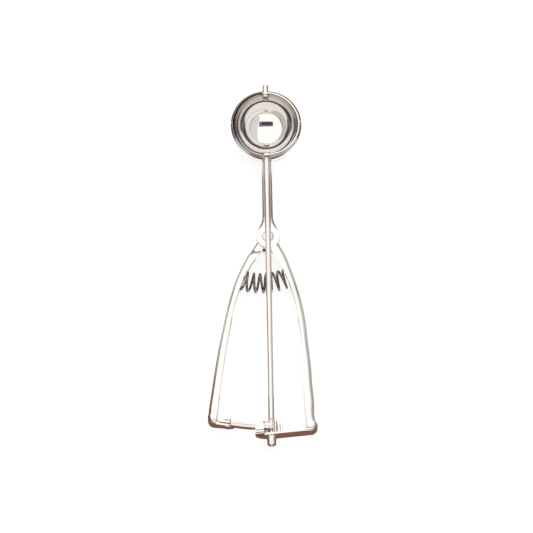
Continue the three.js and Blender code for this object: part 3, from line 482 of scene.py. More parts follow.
def channel(arm):
    """Straight rows lie across the rod at a drop below the pivot, from the lip to the web.
    Corner rows run from a point on the flanges' edge to the round, swung step by step."""
    side = arm["side"]
    end_drop = PIVOT_Y - corner_centre(arm)[1] - SHEET
    columns = 2 * LIP_STEPS + 2 * BEND_STEPS + WEB_STEPS - 1
    share = np.linspace(0, 1, ARM_ROWS)[:, None] ** ROW_CROWDING
    from_web = smoothstep(np.abs(np.linspace(-1, 1, columns)), *WEB_SHARE)
    flange_start, web_start = arm["starts"]
    start = web_start + (flange_start - web_start) * from_web
    drops = start + (end_drop - start) * share
    lip = arm["inner"](drops)
    web = arm["outer"](drops) - lip
    stretch = np.hypot(1, (arm["outer"](drops + SHEET) - arm["outer"](drops)) / SHEET)
    near, full, fade, none = RELIEF_SPAN
    cut = RELIEF * smoothstep(drops, near, full) * (1 - smoothstep(drops, fade, none))
    x, z = section(web, stretch, arm["low"](drops), arm["high"](drops), cut)
    straight = np.stack([side * (lip + x), PIVOT_Y - drops, z], axis=2)

    centre, tip = corner_centre(arm), flange_tip(arm)
    edge_start = np.array([side * float(arm["inner"](end_drop)), PIVOT_Y - end_drop])
    turn = np.linspace(0, 1, CORNER_STEPS + 1)[:, None] * (side * arm["slope"] - math.pi / 2)
    outwards = np.hstack([side * np.cos(turn), np.sin(turn)])
    feet = centre + CORNER_RADIUS * outwards
    under = np.array([[math.sin(arm["slope"]), -math.cos(arm["slope"])]])
    more = np.linspace(0, 1, UNDER_STEPS + 1)[1:, None]
    last = np.array([tip[0], underside(arm, tip[0])])
    feet = np.vstack([feet, feet[-1] + (last - feet[-1]) * more])
    outwards = np.vstack([outwards, np.repeat(under, UNDER_STEPS, axis=0)])
    swing = np.linspace(0, ROUND_PART, CORNER_STEPS + 1)[:, None]
    swing = np.vstack([swing, ROUND_PART + (1 - ROUND_PART) * more])
    swing = FIRST_SWING + (1 - FIRST_SWING) * swing
    origins = edge_start + (tip - edge_start) * swing
    ray = feet - origins
    reach = np.linalg.norm(ray, axis=1, keepdims=True)
    wide = reach / np.sum(ray * outwards, axis=1, keepdims=True)
    x, z = section(reach, wide, CORNER_LIFT * swing, ARM_DEPTH)
    flat = origins[:, None] + (ray / reach)[:, None] * x[:, :, None]
    corner = np.concatenate([flat, z[:, :, None]], axis=2)
    return np.concatenate([straight, corner])


for arm, name, part in ((fixed_arm, "fixed_arm_channel", FIXED),
                        (squeeze_arm, "squeeze_arm_channel", SQUEEZE)):
    outer = channel(arm)
    quads = (outer.shape[0] - 1) * (outer.shape[1] - 1)
    finished(name, *skin(outer, inset(outer, SHEET)), *part, bevel=SHEAR_EDGE,
             inside=(mill_steel, quads, 2 * quads))

# %% [markdown]
# ## Lobes
# The handles overlap at the rivet in four round lobes: the squeeze handle's two lie inside the
# fixed handle's two. A disc with eased edges is a lathe profile. Each is a hair proud of its
# flange, so that two faces never lie in one plane.

# %% Lobes
def disc(radius, low, high, round_off=0.25):
    """Profile of a flat disc with eased edges, from its lower centre to its upper centre."""
    return eased([(0, low), (radius, low), (radius, high), (0, high)], round_off)


def at_pivot(rows):
    """Moves a turned grid to the pivot."""
    return rows + np.array([0, PIVOT_Y, 0])


def turned_piece(name, profile, where, *part, sides=72):
    """A closed lathe piece; where() puts its grid in place."""
    return finished(name, *tube(where(turned(profile, sides))), *part)


for name, low, part in (("fixed_lobe_front", ARM_DEPTH - SHEET, FIXED),
                        ("fixed_lobe_back", BACK_LOBE_LOW, FIXED),
                        ("squeeze_lobe_front", INNER_FRONT_HIGH - SHEET, SQUEEZE),
                        ("squeeze_lobe_back", INNER_BACK_LOW, SQUEEZE)):
    turned_piece(name, disc(LOBE_RADIUS, low - PROUD, low + SHEET + PROUD), at_pivot, *part,
                 sides=96)

# %% [markdown]
# ## Bar, tab and guard
# The fixed arm's web goes on across the bottom as a bar that ends in a round. The squeeze
# arm's web goes on as a short tab for the rack. Both stand on edge, so their outline is drawn
# along the wall and in height, and a bevel softens the sheared edge. Behind the pinion the bar
# carries a folded guard, whose creases are heights along X.

# %% Walls of the two pressings
BAR_BACK, BAR_END, BAR_SWEEP, BAR_ROUND, SWEEP_STEPS = 4.0, 8.86, 10.5, 0.95, 24
TAB_FRONT, TAB_TIP, TAB_ROUND, TAB_END, TAB_ROUND_STEPS = 10.2, 8.6, 2.0, 20.4, 10


def wall_place(arm, rows):
    """Rows hold (distance along the wall, height, depth into the wall). The wall is turned by
    the underside's slope about the arm's corner."""
    along, height, depth = np.moveaxis(rows, -1, 0)
    cos, sin = math.cos(arm["slope"]), math.sin(arm["slope"])
    corner = corner_of(arm)
    return np.stack([corner[0] + along * cos - depth * sin,
                     corner[1] + along * sin + depth * cos, height], axis=-1)


def along_wall(arm, x):
    """The distance along the sloping wall, from the arm's corner, at which X is reached."""
    return (x - corner_of(arm)[0]) / math.cos(arm["slope"])


def wall_piece(name, arm, outline, part):
    """A flat outline given the sheet's thickness and stood on edge along the arm's wall."""
    finished(name, *loft(wall_place(arm, upright(outline, 0, SHEET))), *part,
             bevel=SHEAR_EDGE)


bar_round = BAR_ROUND * (ARM_DEPTH - BAR_BACK)
bar_near = along_wall(fixed_arm, flange_tip(fixed_arm)[0] + 2 * SEAM)
bar_far = along_wall(fixed_arm, -BAR_END)
wall_piece("fixed_bar", fixed_arm, np.vstack([
    [(bar_near, BAR_BACK), (bar_near, ARM_DEPTH - PROUD), (bar_far, ARM_DEPTH - PROUD)],
    arc((bar_far + BAR_SWEEP, BAR_BACK + bar_round), (BAR_SWEEP, bar_round),
        math.pi, 1.5 * math.pi, SWEEP_STEPS)]), FIXED)

tab_near = along_wall(squeeze_arm, flange_tip(squeeze_arm)[0] - 2 * SEAM)
tab_middle = along_wall(squeeze_arm, -TAB_END) - TAB_ROUND
wall_piece("squeeze_tab", squeeze_arm, np.vstack([
    [(tab_near, BAR_BACK)],
    arc((tab_middle, BAR_BACK + TAB_ROUND), (TAB_ROUND,) * 2, -math.pi / 2, 0,
        TAB_ROUND_STEPS),
    arc((tab_middle, TAB_TIP - TAB_ROUND), (TAB_ROUND,) * 2, 0, math.pi / 2, TAB_ROUND_STEPS),
    [(tab_near, TAB_FRONT)]]), SQUEEZE)

GUARD_REACH, GUARD_ROUND, GUARD_RIGHT, GUARD_ROWS = 10.0, 2.0, 6.0, 12
FOLD_ROUND, FOLD_STEPS = 0.5, 5
GUARD_FOLDS = [(-4.7, 0.7), (-3.3, 0.1), (0, 0), (2.5, 0.06), (3.1, 0.36), (4.5, 0.42),
               (5.0, 0.66), (GUARD_RIGHT, 0.7)]


def guard(depth):
    """A shallow trough behind the pinion: columns go along X, with a height that follows the
    creases, eased; rows run from the bar to a top edge with one rounded corner."""
    x, rise = eased(GUARD_FOLDS, FOLD_ROUND, FOLD_STEPS).T
    low = underside(fixed_arm, x) + SHEET / 2
    past = np.clip((x - GUARD_RIGHT + GUARD_ROUND) / GUARD_ROUND, 0, 1)
    high = underside(fixed_arm, 0) + GUARD_REACH - GUARD_ROUND * (1 - np.sqrt(1 - past ** 2))
    y = low + (high - low) * np.linspace(0, 1, GUARD_ROWS)[:, None]
    return np.stack([x + 0 * y, y, BAR_BACK + depth + rise + 0 * y], axis=2)


finished("fixed_guard", *skin(guard(SHEET), guard(PROUD)), *FIXED, bevel=FOLD_EDGE)

# %% [markdown]
# ## The ear
# At the bar's end a strip is bent forward and then up, in front of the rack, so the rack can't
# jump out of the pinion. It is one surface: a path with one round bend, and a width that ends
# in an egg-shaped arch.

# %% Rack heights that the ear clears
TOOTH_MODULE, PINION_TEETH, PRESSURE = 0.6, 8, math.radians(25)
PITCH_RADIUS = TOOTH_MODULE * PINION_TEETH / 2
TOOTH_PITCH = math.pi * TOOTH_MODULE
TOOTH_TIP, TOOTH_ROOT = 0.42, 0.57
RACK_WIDTH, RACK_THICKNESS, RACK_REACH, RACK_TEETH, RACK_TO_BAR = 3.1, 3.84, 22.3, 6, 1.37
bar_drop = FIXED_LENGTH + FIXED_SPREAD * math.tan(BAR_SLOPE)
RACK_RADIUS = bar_drop - SHEET / math.cos(BAR_SLOPE) - RACK_TO_BAR - RACK_WIDTH / 2
rack_y = PIVOT_Y - RACK_RADIUS
RACK_PITCH_HEIGHT = (BOWL_HEIGHT + rack_y * math.tan(INCLINE)
                     + PITCH_RADIUS / math.cos(INCLINE))
RACK_FRONT = RACK_PITCH_HEIGHT - TOOTH_TIP + RACK_THICKNESS
print("front of the rack, mm:", round(RACK_FRONT, 2))

# %% Ear
EAR_WIDTH, EAR_TOP_WIDTH, EAR_ARCH, EAR_REACH = 5.1, 4.1, 3.0, 9.1
RISE_STEPS, EAR_BEND_STEPS, RUN_STEPS, ARCH_STEPS, EAR_COLUMNS = 5, 14, 7, 18, 13


def ear():
    """Path in Y and height: up from the bar's front edge, a quarter circle, then along Y. The
    width narrows from the foot to the arch, and closes as half an ellipse at the tip."""
    front = RACK_FRONT + GAP + SHEET
    bend, arch = (BEND_RADIUS, front - BEND_RADIUS), (EAR_REACH - EAR_ARCH, front)
    path = np.vstack([
        np.linspace((0, ARM_DEPTH - SHEET), (0, bend[1]), RISE_STEPS + 1)[:-1],
        arc(bend, (BEND_RADIUS,) * 2, math.pi, math.pi / 2, EAR_BEND_STEPS),
        np.linspace((BEND_RADIUS, front), arch, RUN_STEPS + 1)[1:],
        arc(arch, (EAR_ARCH, 0), -math.pi / 2, 0, ARCH_STEPS)[1:]])
    y, height = path[:, :1], path[:, 1:]
    narrowed = EAR_WIDTH + (EAR_TOP_WIDTH - EAR_WIDTH) * np.clip(y / arch[0], 0, 1)
    past = np.clip((y - arch[0]) / EAR_ARCH, 0, 1)
    closing = np.sqrt(1 - past ** 2)
    share = np.linspace(0, 1, EAR_COLUMNS)
    x = EAR_TOP_WIDTH / 2 - BAR_END + closing * (narrowed * share - EAR_TOP_WIDTH / 2)
    slope = math.tan(BAR_SLOPE) * (x + BAR_END) * np.clip(1 - y / EAR_REACH, 0, 1)
    outer = np.stack([x, underside(fixed_arm, -BAR_END) + y + slope, height + 0 * x], axis=2)
    way = np.gradient(path, axis=0)
    way /= np.linalg.norm(way, axis=1, keepdims=True)
    inner = outer + SHEET * np.stack([0 * x, way[:, 1:] + 0 * x, -way[:, :1] + 0 * x], axis=2)
    return outer, inner


finished("fixed_ear", *skin(*ear()), *FIXED, bevel=FOLD_EDGE)

# %% [markdown]
# ## Shank and saddle
# Above the rivet the fixed handle goes on as a folded strip, closed in front and open behind,
# and spreads into a saddle that is spot-welded under the bowl. The shank's end follows the
# bowl's sphere, which is worked out for every point of its section.

# %% Shank
SHANK_BACK, SHANK_WIDTH, SHANK_NECK, SHANK_ROOT, SHANK_ROUND = 3.0, 5.7, 5.3, 11.4, 2.2
SIDE_STEPS, ROUND_STEPS, TOP_STEPS, SHANK_ROWS, SETTLING = 9, 10, 8, 90, 7


def shank():
    """Columns run round the folded section: up a side, a quarter circle, across, and down. Each
    starts clear of the lobes' room and ends on the sphere, whose place and the width there are
    worked out in turn until both agree. The width narrows to the bowl and flares at the root."""
    start_y, root_y = PIVOT_Y + LOBE_RADIUS / 2, PIVOT_Y + 2 * LOBE_RADIUS
    shoulder = ARM_DEPTH - SHANK_ROUND
    half = np.vstack([
        np.linspace((0, SHANK_BACK), (0, shoulder), SIDE_STEPS + 1),
        arc((-SHANK_ROUND, shoulder), (SHANK_ROUND,) * 2, 0, math.pi / 2, ROUND_STEPS)])
    across = np.linspace(1, -1, TOP_STEPS + 1)[1:-1]
    inwards, height = np.vstack([half, half[-1] + np.zeros((len(across), 2)), half[::-1]]).T
    side = np.concatenate([np.ones(len(half)), across, -np.ones(len(half))])
    inside = (height > BACK_LOBE_LOW) & (height < ARM_DEPTH - SHEET)
    begin = np.where(inside, PIVOT_Y + LOBE_RADIUS + GAP, start_y)
    share = np.linspace(0, 1, SHANK_ROWS)[:, None]
    end = -BOWL_RADIUS
    for _ in range(SETTLING):
        y = begin + (end - begin) * share
        taper = (SHANK_WIDTH - SHANK_NECK) * (y + BOWL_RADIUS) / (root_y + BOWL_RADIUS)
        flare = (SHANK_ROOT - SHANK_WIDTH) * (1 - smoothstep(y, start_y, root_y)) ** 2
        x = side * ((SHANK_NECK + np.maximum(taper, 0) + flare) / 2 + inwards)
        reach = (BOWL_RADIUS + GAP) ** 2 - x[-1] ** 2 - (height - BOWL_HEIGHT) ** 2
        end = -np.sqrt(np.maximum(reach, 1))
    return np.stack([x, y, height + 0 * y], axis=2)


outer = shank()
finished("shank", *skin(outer, inset(outer, SHEET)), *FIXED, bevel=FOLD_EDGE)

# %% Saddle
SADDLE_TURN, SADDLE_TOP, SADDLE_BOTTOM = (math.radians(a) for a in (29.5, 35, 60))
SADDLE_EDGE, SADDLE_ROWS, SADDLE_COLUMNS = 0.25, 65, 25


def saddle(radius):
    """A patch of a sphere below the near side of the rim: with t the turn to a side and e the
    elevation, a point is (R sin t, R cos e cos t, R sin e cos t)."""
    turn = np.linspace(-SADDLE_TURN, SADDLE_TURN, SADDLE_ROWS)[:, None]
    fall = math.pi + np.linspace(SADDLE_TOP, SADDLE_BOTTOM, SADDLE_COLUMNS)[None, :]
    return on_spindle(radius * np.stack([
        np.sin(turn) + 0 * fall, np.cos(fall) * np.cos(turn), np.sin(fall) * np.cos(turn)],
        axis=2))


finished("saddle", *skin(saddle(BOWL_RADIUS + GAP + SHEET), saddle(BOWL_RADIUS + GAP)), *FIXED,
         bevel=SADDLE_EDGE)

# %% [markdown]
# ## Rivet and spacer
# The rivet's head is a low dome in front; behind it is a flat tail. A sleeve round it keeps
# the channels apart. All are lathe profiles.

# %% Rivet and spacer
RIVET_RADIUS, HEAD_RADIUS, HEAD_HEIGHT, TAIL_RADIUS, TAIL_HEIGHT = 1.6, 3.2, 1.3, 2.6, 1.2
RIVET_EDGE, HEAD_FOOT, HEAD_STEPS = 0.3, 0.25, 16
SLEEVE_RADIUS, SLEEVE_PLAY, SLEEVE_EDGE = 3.2, 0.15, 0.25


def rivet_profile(tail, shaft, head, round_off):
    """From the tail's centre to the head's. The tail is (radius, low, high), with its edges
    eased; the head is (radius, foot, height): an upright foot, then a quarter ellipse."""
    radius, low, high = tail
    head_radius, foot, height = head
    rim = HEAD_FOOT * height
    profile = np.vstack([
        eased([(0, low), (radius, low), (radius, high), (shaft, high)], round_off),
        [(shaft, foot), (head_radius, foot)],
        arc((0, foot + rim), (head_radius, height - rim), 0, math.pi / 2, HEAD_STEPS)])
    profile[-1, 0] = 0
    return profile


turned_piece("pivot_rivet_head", rivet_profile(
    (TAIL_RADIUS, BACK_LOBE_LOW - TAIL_HEIGHT, BACK_LOBE_LOW - PROUD), RIVET_RADIUS,
    (HEAD_RADIUS, ARM_DEPTH + 2 * PROUD, HEAD_HEIGHT - 2 * PROUD), RIVET_EDGE),
    at_pivot, turned_steel, "frame", "rivet_steel", ["pivot_rivet"])

sleeve_low = INNER_BACK_LOW + SHEET + SLEEVE_PLAY
sleeve_high = INNER_FRONT_HIGH - SHEET - SLEEVE_PLAY
sleeve_ring = eased([
    (RIVET_RADIUS + GAP, sleeve_low), (SLEEVE_RADIUS, sleeve_low),
    (SLEEVE_RADIUS, sleeve_high), (RIVET_RADIUS + GAP, sleeve_high)], SLEEVE_EDGE, closed=True)
finished("pivot_sleeve", *tube(at_pivot(turned(sleeve_ring)), True), turned_steel, "frame",
         "rivet_steel", ["pivot_spacer"])

# %% [markdown]
# ## The spring
# A coil spring pushes the handles apart just below the rivet. Its wire is a helix about a
# flat arc that bows away from the pivot, swept by a round section. The frame of the section
# comes from the helix itself, so there is no twist to chase.

# %% Spring
SPRING_WIRE, SPRING_RADIUS, SPRING_TURNS, SPRING_DROP, SPRING_BOW = 1.4, 5.1, 7, 23.0, 2.25
SPRING_SHIFT, SPRING_ARC, TURN_STEPS, TAIL_STEPS = 0.5, 34.0, 56, 8
SPRING_ANGLE, SPRING_TILT = math.radians(22.6), math.radians(4.0)
WIRE_SIDES, WIRE_END = 18, 0.7
spring_right = float(fixed_arm["inner"](SPRING_DROP))
spring_left = -float(squeeze_arm["inner"](SPRING_DROP))
spring_middle = (spring_right + spring_left) / 2 + SPRING_SHIFT


def spring_frame(angle):
    """On the flat arc, tilted a little: its centre point, the way along it, and the way out."""
    hub = np.array([spring_middle - SPRING_ARC * math.sin(SPRING_TILT),
                    PIVOT_Y - SPRING_DROP - SPRING_BOW + SPRING_ARC * math.cos(SPRING_TILT),
                    ARM_DEPTH / 2])
    angle = angle + SPRING_TILT
    along = np.stack([np.cos(angle), np.sin(angle), 0 * angle], axis=-1)
    outwards = np.stack([np.sin(angle), -np.cos(angle), 0 * angle], axis=-1)
    return hub + SPRING_ARC * outwards, along, outwards


def spring():
    """Wire centre: arc point + R (cos t up + sin t out). The section is a circle spanned by
    the radial direction and its cross product with the wire's direction."""
    share = np.linspace(0, 1, SPRING_TURNS * TURN_STEPS + 1)
    centre, along, outwards = spring_frame((2 * share - 1) * SPRING_ANGLE)
    t = (math.pi / 2 + 2 * math.pi * SPRING_TURNS * share)[:, None]
    radial = np.array([0, 0, 1.0]) * np.cos(t) + outwards * np.sin(t)
    wire = centre + SPRING_RADIUS * radial
    tail = np.linspace(1, 0, TAIL_STEPS + 1)[:-1, None] * SPRING_WIRE
    wire = np.vstack([wire[0] - along[0] * tail, wire, wire[-1] + along[-1] * tail[::-1]])
    radial = np.pad(radial, ((TAIL_STEPS, TAIL_STEPS), (0, 0)), mode="edge")
    tangent = np.gradient(wire, axis=0)
    tangent /= np.linalg.norm(tangent, axis=1, keepdims=True)
    radial -= tangent * np.sum(radial * tangent, axis=1, keepdims=True)
    radial /= np.linalg.norm(radial, axis=1, keepdims=True)
    third = np.cross(tangent, radial)
    angle = np.linspace(0, 2 * math.pi, WIRE_SIDES, endpoint=False)[None, :, None]
    ring = radial[:, None] * np.cos(angle) + third[:, None] * np.sin(angle)
    ring[[0, -1]] *= WIRE_END
    return wire[:, None] + SPRING_WIRE / 2 * ring


coil = finished("return_spring", *loft(spring()), spring_steel, None, "spring_steel", ["spring"],
                sharp=math.pi)
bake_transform(coil)

# %% Spring seats
SEAT_RADIUS, SEAT_NOSE, SEAT_CONE, SEAT_EDGE = 3.3, 2.8, 1.5, 0.35
SEAT_MARGIN, WEB_SLANT = 0.2, 1.25
WEB_ROOM = WEB_SLANT * (SHEET + GAP + SEAT_MARGIN)


def along_line(start, end):
    """A place() for turned grids: Z runs from start to end."""
    way = np.asarray(end, float) - np.asarray(start, float)
    turn = np.array(Vector(way).to_track_quat("Z", "Y").to_matrix())
    return lambda rows: rows @ turn.T + np.asarray(start, float)


for arm, name, body, cad in (
        (fixed_arm, "seat_boss_fixed", "frame", "spring_seat_fixed"),
        (squeeze_arm, "seat_boss_squeeze", "squeeze", "spring_seat_squeeze")):
    side = arm["side"]
    centre, along, _ = spring_frame(np.array(side * SPRING_ANGLE))
    room = (float(arm["outer"](SPRING_DROP)) - WEB_ROOM - side * centre[0]) / abs(along[0])
    profile = eased([(0, 0), (SEAT_RADIUS, 0), (SEAT_RADIUS, room), (SEAT_NOSE, room + SEAT_CONE),
                     (0, room + SEAT_CONE)], SEAT_EDGE)
    foot = centre + along * side * room
    turned_piece(name, profile, along_line(foot, foot - along * side), turned_steel, body,
                 "rivet_steel", [cad], sides=48)

# %% [markdown]
# ## Rod, pin and pinion
# The spindle is one rod: peened inside the blade, thin where it turns in the bowl, and pressed
# into a long pinion at its lower end. A second short pin carries the blade at the far side. On
# the spindle's axis everything is a lathe profile, except the teeth, whose outline is carried
# along the axis and drawn in a little at both ends.

# %% Spindle
JOURNAL, PEEN_RADIUS, PEEN_LENGTH = 1.2, 2.0, 0.9
BLADE_THICKNESS, BLADE_WIDTH, BLADE_TAB, BLADE_DROP = 0.6, 8.5, 2.9, 0.5
BLADE_RADIUS = BOWL_RADIUS - RIM_WALL - GAP / 6
PINION_LENGTH, PINION_STUB, PINION_BORE, BORE_PLAY, BORE_PROUD = 14.5, 5.0, 1.1, 0.3, 0.6
PIN_RADIUS, PIN_HEAD, PIN_REACH = 1.5, 2.3, 3.7
ROD_EDGE, PIN_EDGE, PIN_STEPS = 0.28, 0.4, 5
bar_distance = -float(underside(fixed_arm, 0)) / math.cos(INCLINE)
pinion_end = bar_distance + PINION_STUB
pinion_top = pinion_end - PINION_LENGTH


def along_spindle(rows):
    """A turned grid's Z becomes the spindle's Y, in the sloping frame of the bowl."""
    x, y, z = np.moveaxis(rows, -1, 0)
    return on_spindle(np.stack([x, z, -y], axis=-1))


shoulder = BOWL_RADIUS + GAP
peen = BLADE_RADIUS - BLADE_THICKNESS - GAP
rod_low, rod_bore = -pinion_end - BORE_PROUD, BORE_PLAY - pinion_top
turned_piece("spindle_rod_drawn", eased([
    (0, rod_low), (PINION_BORE, rod_low), (PINION_BORE, rod_bore), (ROD_RADIUS, rod_bore),
    (ROD_RADIUS, -shoulder), (JOURNAL, -shoulder), (JOURNAL, -peen), (PEEN_RADIUS, -peen),
    (PEEN_RADIUS, PEEN_LENGTH - peen), (0, PEEN_LENGTH - peen)], ROD_EDGE),
    along_spindle, drawn_steel, "spindle", "rod_steel", ["spindle_rod"])

head, pin_top = peen - GAP, BOWL_RADIUS + PIN_REACH
turned_piece("top_pin_drawn", eased([
    (0, head - PEEN_LENGTH), (PIN_HEAD, head - PEEN_LENGTH), (PIN_HEAD, head),
    (PIN_RADIUS, head), (PIN_RADIUS, pin_top), (0, pin_top)], PIN_EDGE, PIN_STEPS),
    along_spindle, drawn_steel, "spindle", "rod_steel", ["scraper_top_pin"])

# %% Pinion
BACKLASH, FLANK_POINTS = 0.12, 6
END_LENGTH, END_INSET = 0.35, 0.25
COLLAR_RADII, COLLAR_EDGE, COLLAR_ROUND = (2.3, 2.35, 2.62), 0.5, 0.2


def tooth_half_angle(radius):
    """Half of a tooth's angle: its share of the pitch, less the backlash, plus the involute of
    the pressure angle minus the involute at this radius."""
    angle = np.arccos(np.minimum(PITCH_RADIUS * math.cos(PRESSURE) / radius, 1))
    at_pitch = (TOOTH_PITCH / 2 - BACKLASH) / (2 * PITCH_RADIUS)
    return at_pitch + (math.tan(PRESSURE) - PRESSURE) - (np.tan(angle) - angle)


def pinion():
    """Tooth flanks rise from the root to the tip by the involute; the outline is carried along
    the spindle. Both ends are drawn in by a small bevel, and closed."""
    radii = np.concatenate([[PITCH_RADIUS - TOOTH_ROOT],
                            np.linspace(PITCH_RADIUS * math.cos(PRESSURE),
                                        PITCH_RADIUS + TOOTH_TIP, FLANK_POINTS)])
    half = tooth_half_angle(radii)
    middle = 2 * math.pi * (np.arange(PINION_TEETH) + 0.5)[:, None] / PINION_TEETH
    angle = np.hstack([middle - half, middle + half[::-1]]).ravel()
    radius = np.tile(np.concatenate([radii, radii[::-1]]), PINION_TEETH)
    teeth = PINION_LENGTH - PINION_STUB
    places = np.array([0, 0, END_LENGTH, teeth - END_LENGTH, teeth, teeth])[:, None]
    shrink = END_INSET * np.array([0, 1, 0, 0, 1, 0])[:, None]
    keep = np.array([0, 1, 1, 1, 1, 0])[:, None]
    r = (radius - shrink) * keep
    return on_spindle(np.stack([r * np.cos(angle), -pinion_top - places + 0 * r,
                                -r * np.sin(angle)], axis=2))


finished("pinion_cut", *tube(pinion()), cut_steel, "spindle", "gear_steel", ["pinion"])

near, low, high = COLLAR_RADII
collar_top = PINION_STUB + COLLAR_EDGE - pinion_end
turned_piece("pinion_collar", eased([
    (0, -pinion_end), (near, -pinion_end), (low, COLLAR_EDGE - pinion_end),
    (high, PINION_STUB - pinion_end), (near, collar_top), (0, collar_top)], COLLAR_ROUND),
    along_spindle, drawn_steel, "spindle", "gear_steel", ["pinion"], sides=48)

# %% [markdown]
# ## The blade
# The scraper is a strip of spring steel that hugs the inside of the bowl, with a round tab at
# each end on the spindle's axis. It is a patch of a sphere: one parameter runs from pole to
# pole, the other across the strip.


# %% Blade
BLADE_STEPS, TAB_STEPS, BLADE_COLUMNS, NARROWING, BOW_MARGIN = 96, 11, 17, 0.25, 2


def blade(radius):
    """With b the angle across (sin b = w / R) and a the angle along, a point is
    R (cos b cos a, cos b sin a, sin b). The half width w grows from the tab's radius by the
    root of 1 - (y / Y)^2, and past each pole it closes as a circle of the tab's radius."""
    pole = math.pi / 2
    tab = math.asin(BLADE_TAB / BLADE_RADIUS)
    past = tab * np.sin(np.linspace(0, pole, TAB_STEPS + 1))[1:]
    a = np.concatenate([-pole - past[::-1], np.linspace(-pole, pole, BLADE_STEPS + 1),
                        pole + past])
    y = BLADE_RADIUS * np.sin(np.clip(a, -pole, pole))
    bow = np.sqrt(1 - (y / (BLADE_RADIUS + BOW_MARGIN)) ** 2)
    near_pole = smoothstep((pole - np.abs(a)) / NARROWING, 0, 1)
    strip = BLADE_TAB + (BLADE_WIDTH / 2 - BLADE_TAB) * bow * near_pole
    beyond = BLADE_RADIUS * np.sin(np.clip(np.abs(a) - pole, 0, tab))
    width = np.where(np.abs(a) > pole, np.sqrt(np.clip(BLADE_TAB ** 2 - beyond ** 2, 0, None)),
                     strip)
    b = np.arcsin(width[:, None] / BLADE_RADIUS * np.linspace(-1, 1, BLADE_COLUMNS))
    a = a[:, None]
    tilt = math.asin((BLADE_WIDTH / 2 + BLADE_DROP - RIM_RISE) / BLADE_RADIUS)
    x, y, z = np.cos(b) * np.cos(a), np.cos(b) * np.sin(a), np.sin(b)
    return on_spindle(radius * np.stack([
        x * math.cos(tilt) + z * math.sin(tilt), y, z * math.cos(tilt) - x * math.sin(tilt)],
        axis=2))


finished("scraper_strip", *skin(blade(BLADE_RADIUS), blade(BLADE_RADIUS - BLADE_THICKNESS)),
         rolled_steel, "spindle", "blade_steel", ["scraper_blade"])

# %% [markdown]
# ## The rack
# A toothed strip curves about the pivot, so it stays in mesh with the pinion as the handle
# closes. It is riveted to the squeeze handle's tab through a lug. The strip's back follows the
# teeth point by point, and each station is placed by its angle about the pivot.

# %% Rack strip
TOOTH_GAP, PLAIN_STEPS = 0.24, 24
GROOVE_SHIFT, GROOVE_HALF, GROOVE_DEPTH = 0.25, 0.32, 0.42
FRONT_ROUND, FRONT_STEPS = 0.5, 5
RACK = (cut_steel, "squeeze", "gear_steel", ["rack"])


def rack_place(distance, radius, height):
    """Angle = distance / pitch radius of the rack, about the pivot; then radius and height."""
    angle = distance / RACK_RADIUS
    return np.stack([radius * np.sin(angle), PIVOT_Y - radius * np.cos(angle), height], axis=-1)


def rack_strip():
    """Sections at each corner of the teeth: the back edge is at the tooth's height, and the
    front has eased edges and a groove along its middle."""
    tip, root = RACK_PITCH_HEIGHT - TOOTH_TIP, RACK_PITCH_HEIGHT + TOOTH_ROOT
    half = (TOOTH_PITCH - TOOTH_GAP) / 4
    half_tip = half - TOOTH_TIP * math.tan(PRESSURE)
    half_root = half + TOOTH_ROOT * math.tan(PRESSURE)
    middle = -np.arange(RACK_TEETH)[:, None] * TOOTH_PITCH
    teeth = middle + np.array([half_root, half_tip, -half_tip, -half_root])
    plain = np.linspace(teeth[-1, -1] - (half_root - half_tip), -RACK_REACH, PLAIN_STEPS)
    distance = np.concatenate([teeth.ravel(), plain])
    level = np.concatenate([np.tile([root, tip, tip, root], RACK_TEETH), tip + 0 * plain])
    near, far = RACK_RADIUS - RACK_WIDTH / 2, RACK_RADIUS + RACK_WIDTH / 2
    groove = RACK_RADIUS + GROOVE_SHIFT
    front = eased([(near, RACK_FRONT - 1), (near, RACK_FRONT), (groove - GROOVE_HALF, RACK_FRONT),
                   (groove, RACK_FRONT - GROOVE_DEPTH), (groove + GROOVE_HALF, RACK_FRONT),
                   (far, RACK_FRONT), (far, RACK_FRONT - 1)], FRONT_ROUND, FRONT_STEPS)
    radius = np.concatenate([[near], front[:, 0], [far]])
    height = np.tile(np.pad(front[:, 1], 1), (len(level), 1))
    height[:, 0] = height[:, -1] = level
    return rack_place(distance[:, None], radius, height)


finished("rack_strip", *loft(rack_strip()), *RACK, bevel=CUT_EDGE)

# %% Lug and its rivet
LUG_NEAR, LUG_FAR, LUG_BACK, LUG_FRONT = 20.0, 29.0, 4.5, 9.8
LUG_EDGE, LUG_ROUND, LUG_STEPS = 0.18, 0.7, 6


def lug():
    """The lug stands in front of the tab and follows it. Its outline, in X and height, is low
    round the rivet and rises as a post to the strip's front; the corners are eased."""
    x, z = eased([(-LUG_FAR, LUG_BACK), (-LUG_NEAR, LUG_BACK), (-LUG_NEAR, RACK_FRONT - PROUD),
                  (-RACK_REACH, RACK_FRONT - PROUD), (-RACK_REACH, LUG_FRONT),
                  (-LUG_FAR, LUG_FRONT)], LUG_ROUND, LUG_STEPS, closed=True).T
    depth = np.array([[SHEET + GAP], [2 * SHEET + GAP]]) / math.cos(TAB_SLOPE)
    return np.stack([x + 0 * depth, underside(squeeze_arm, x) + depth, z + 0 * depth], axis=2)


finished("rack_lug", *loft(lug()), *RACK, bevel=LUG_EDGE)


def rack_root():
    """The corner between strip and post, filled in front of the tab."""
    thick = (2 * SHEET + GAP) / math.cos(TAB_SLOPE)
    start, end = rack_place(np.array([-RACK_REACH, -LUG_NEAR]), RACK_RADIUS, np.zeros(2))[:, :2]
    outline = [start, end, (-LUG_NEAR, underside(squeeze_arm, -LUG_NEAR) + thick),
               (start[0], underside(squeeze_arm, start[0]) + thick)]
    return upright(outline, RACK_PITCH_HEIGHT - TOOTH_TIP + PROUD, RACK_FRONT - 2 * PROUD)


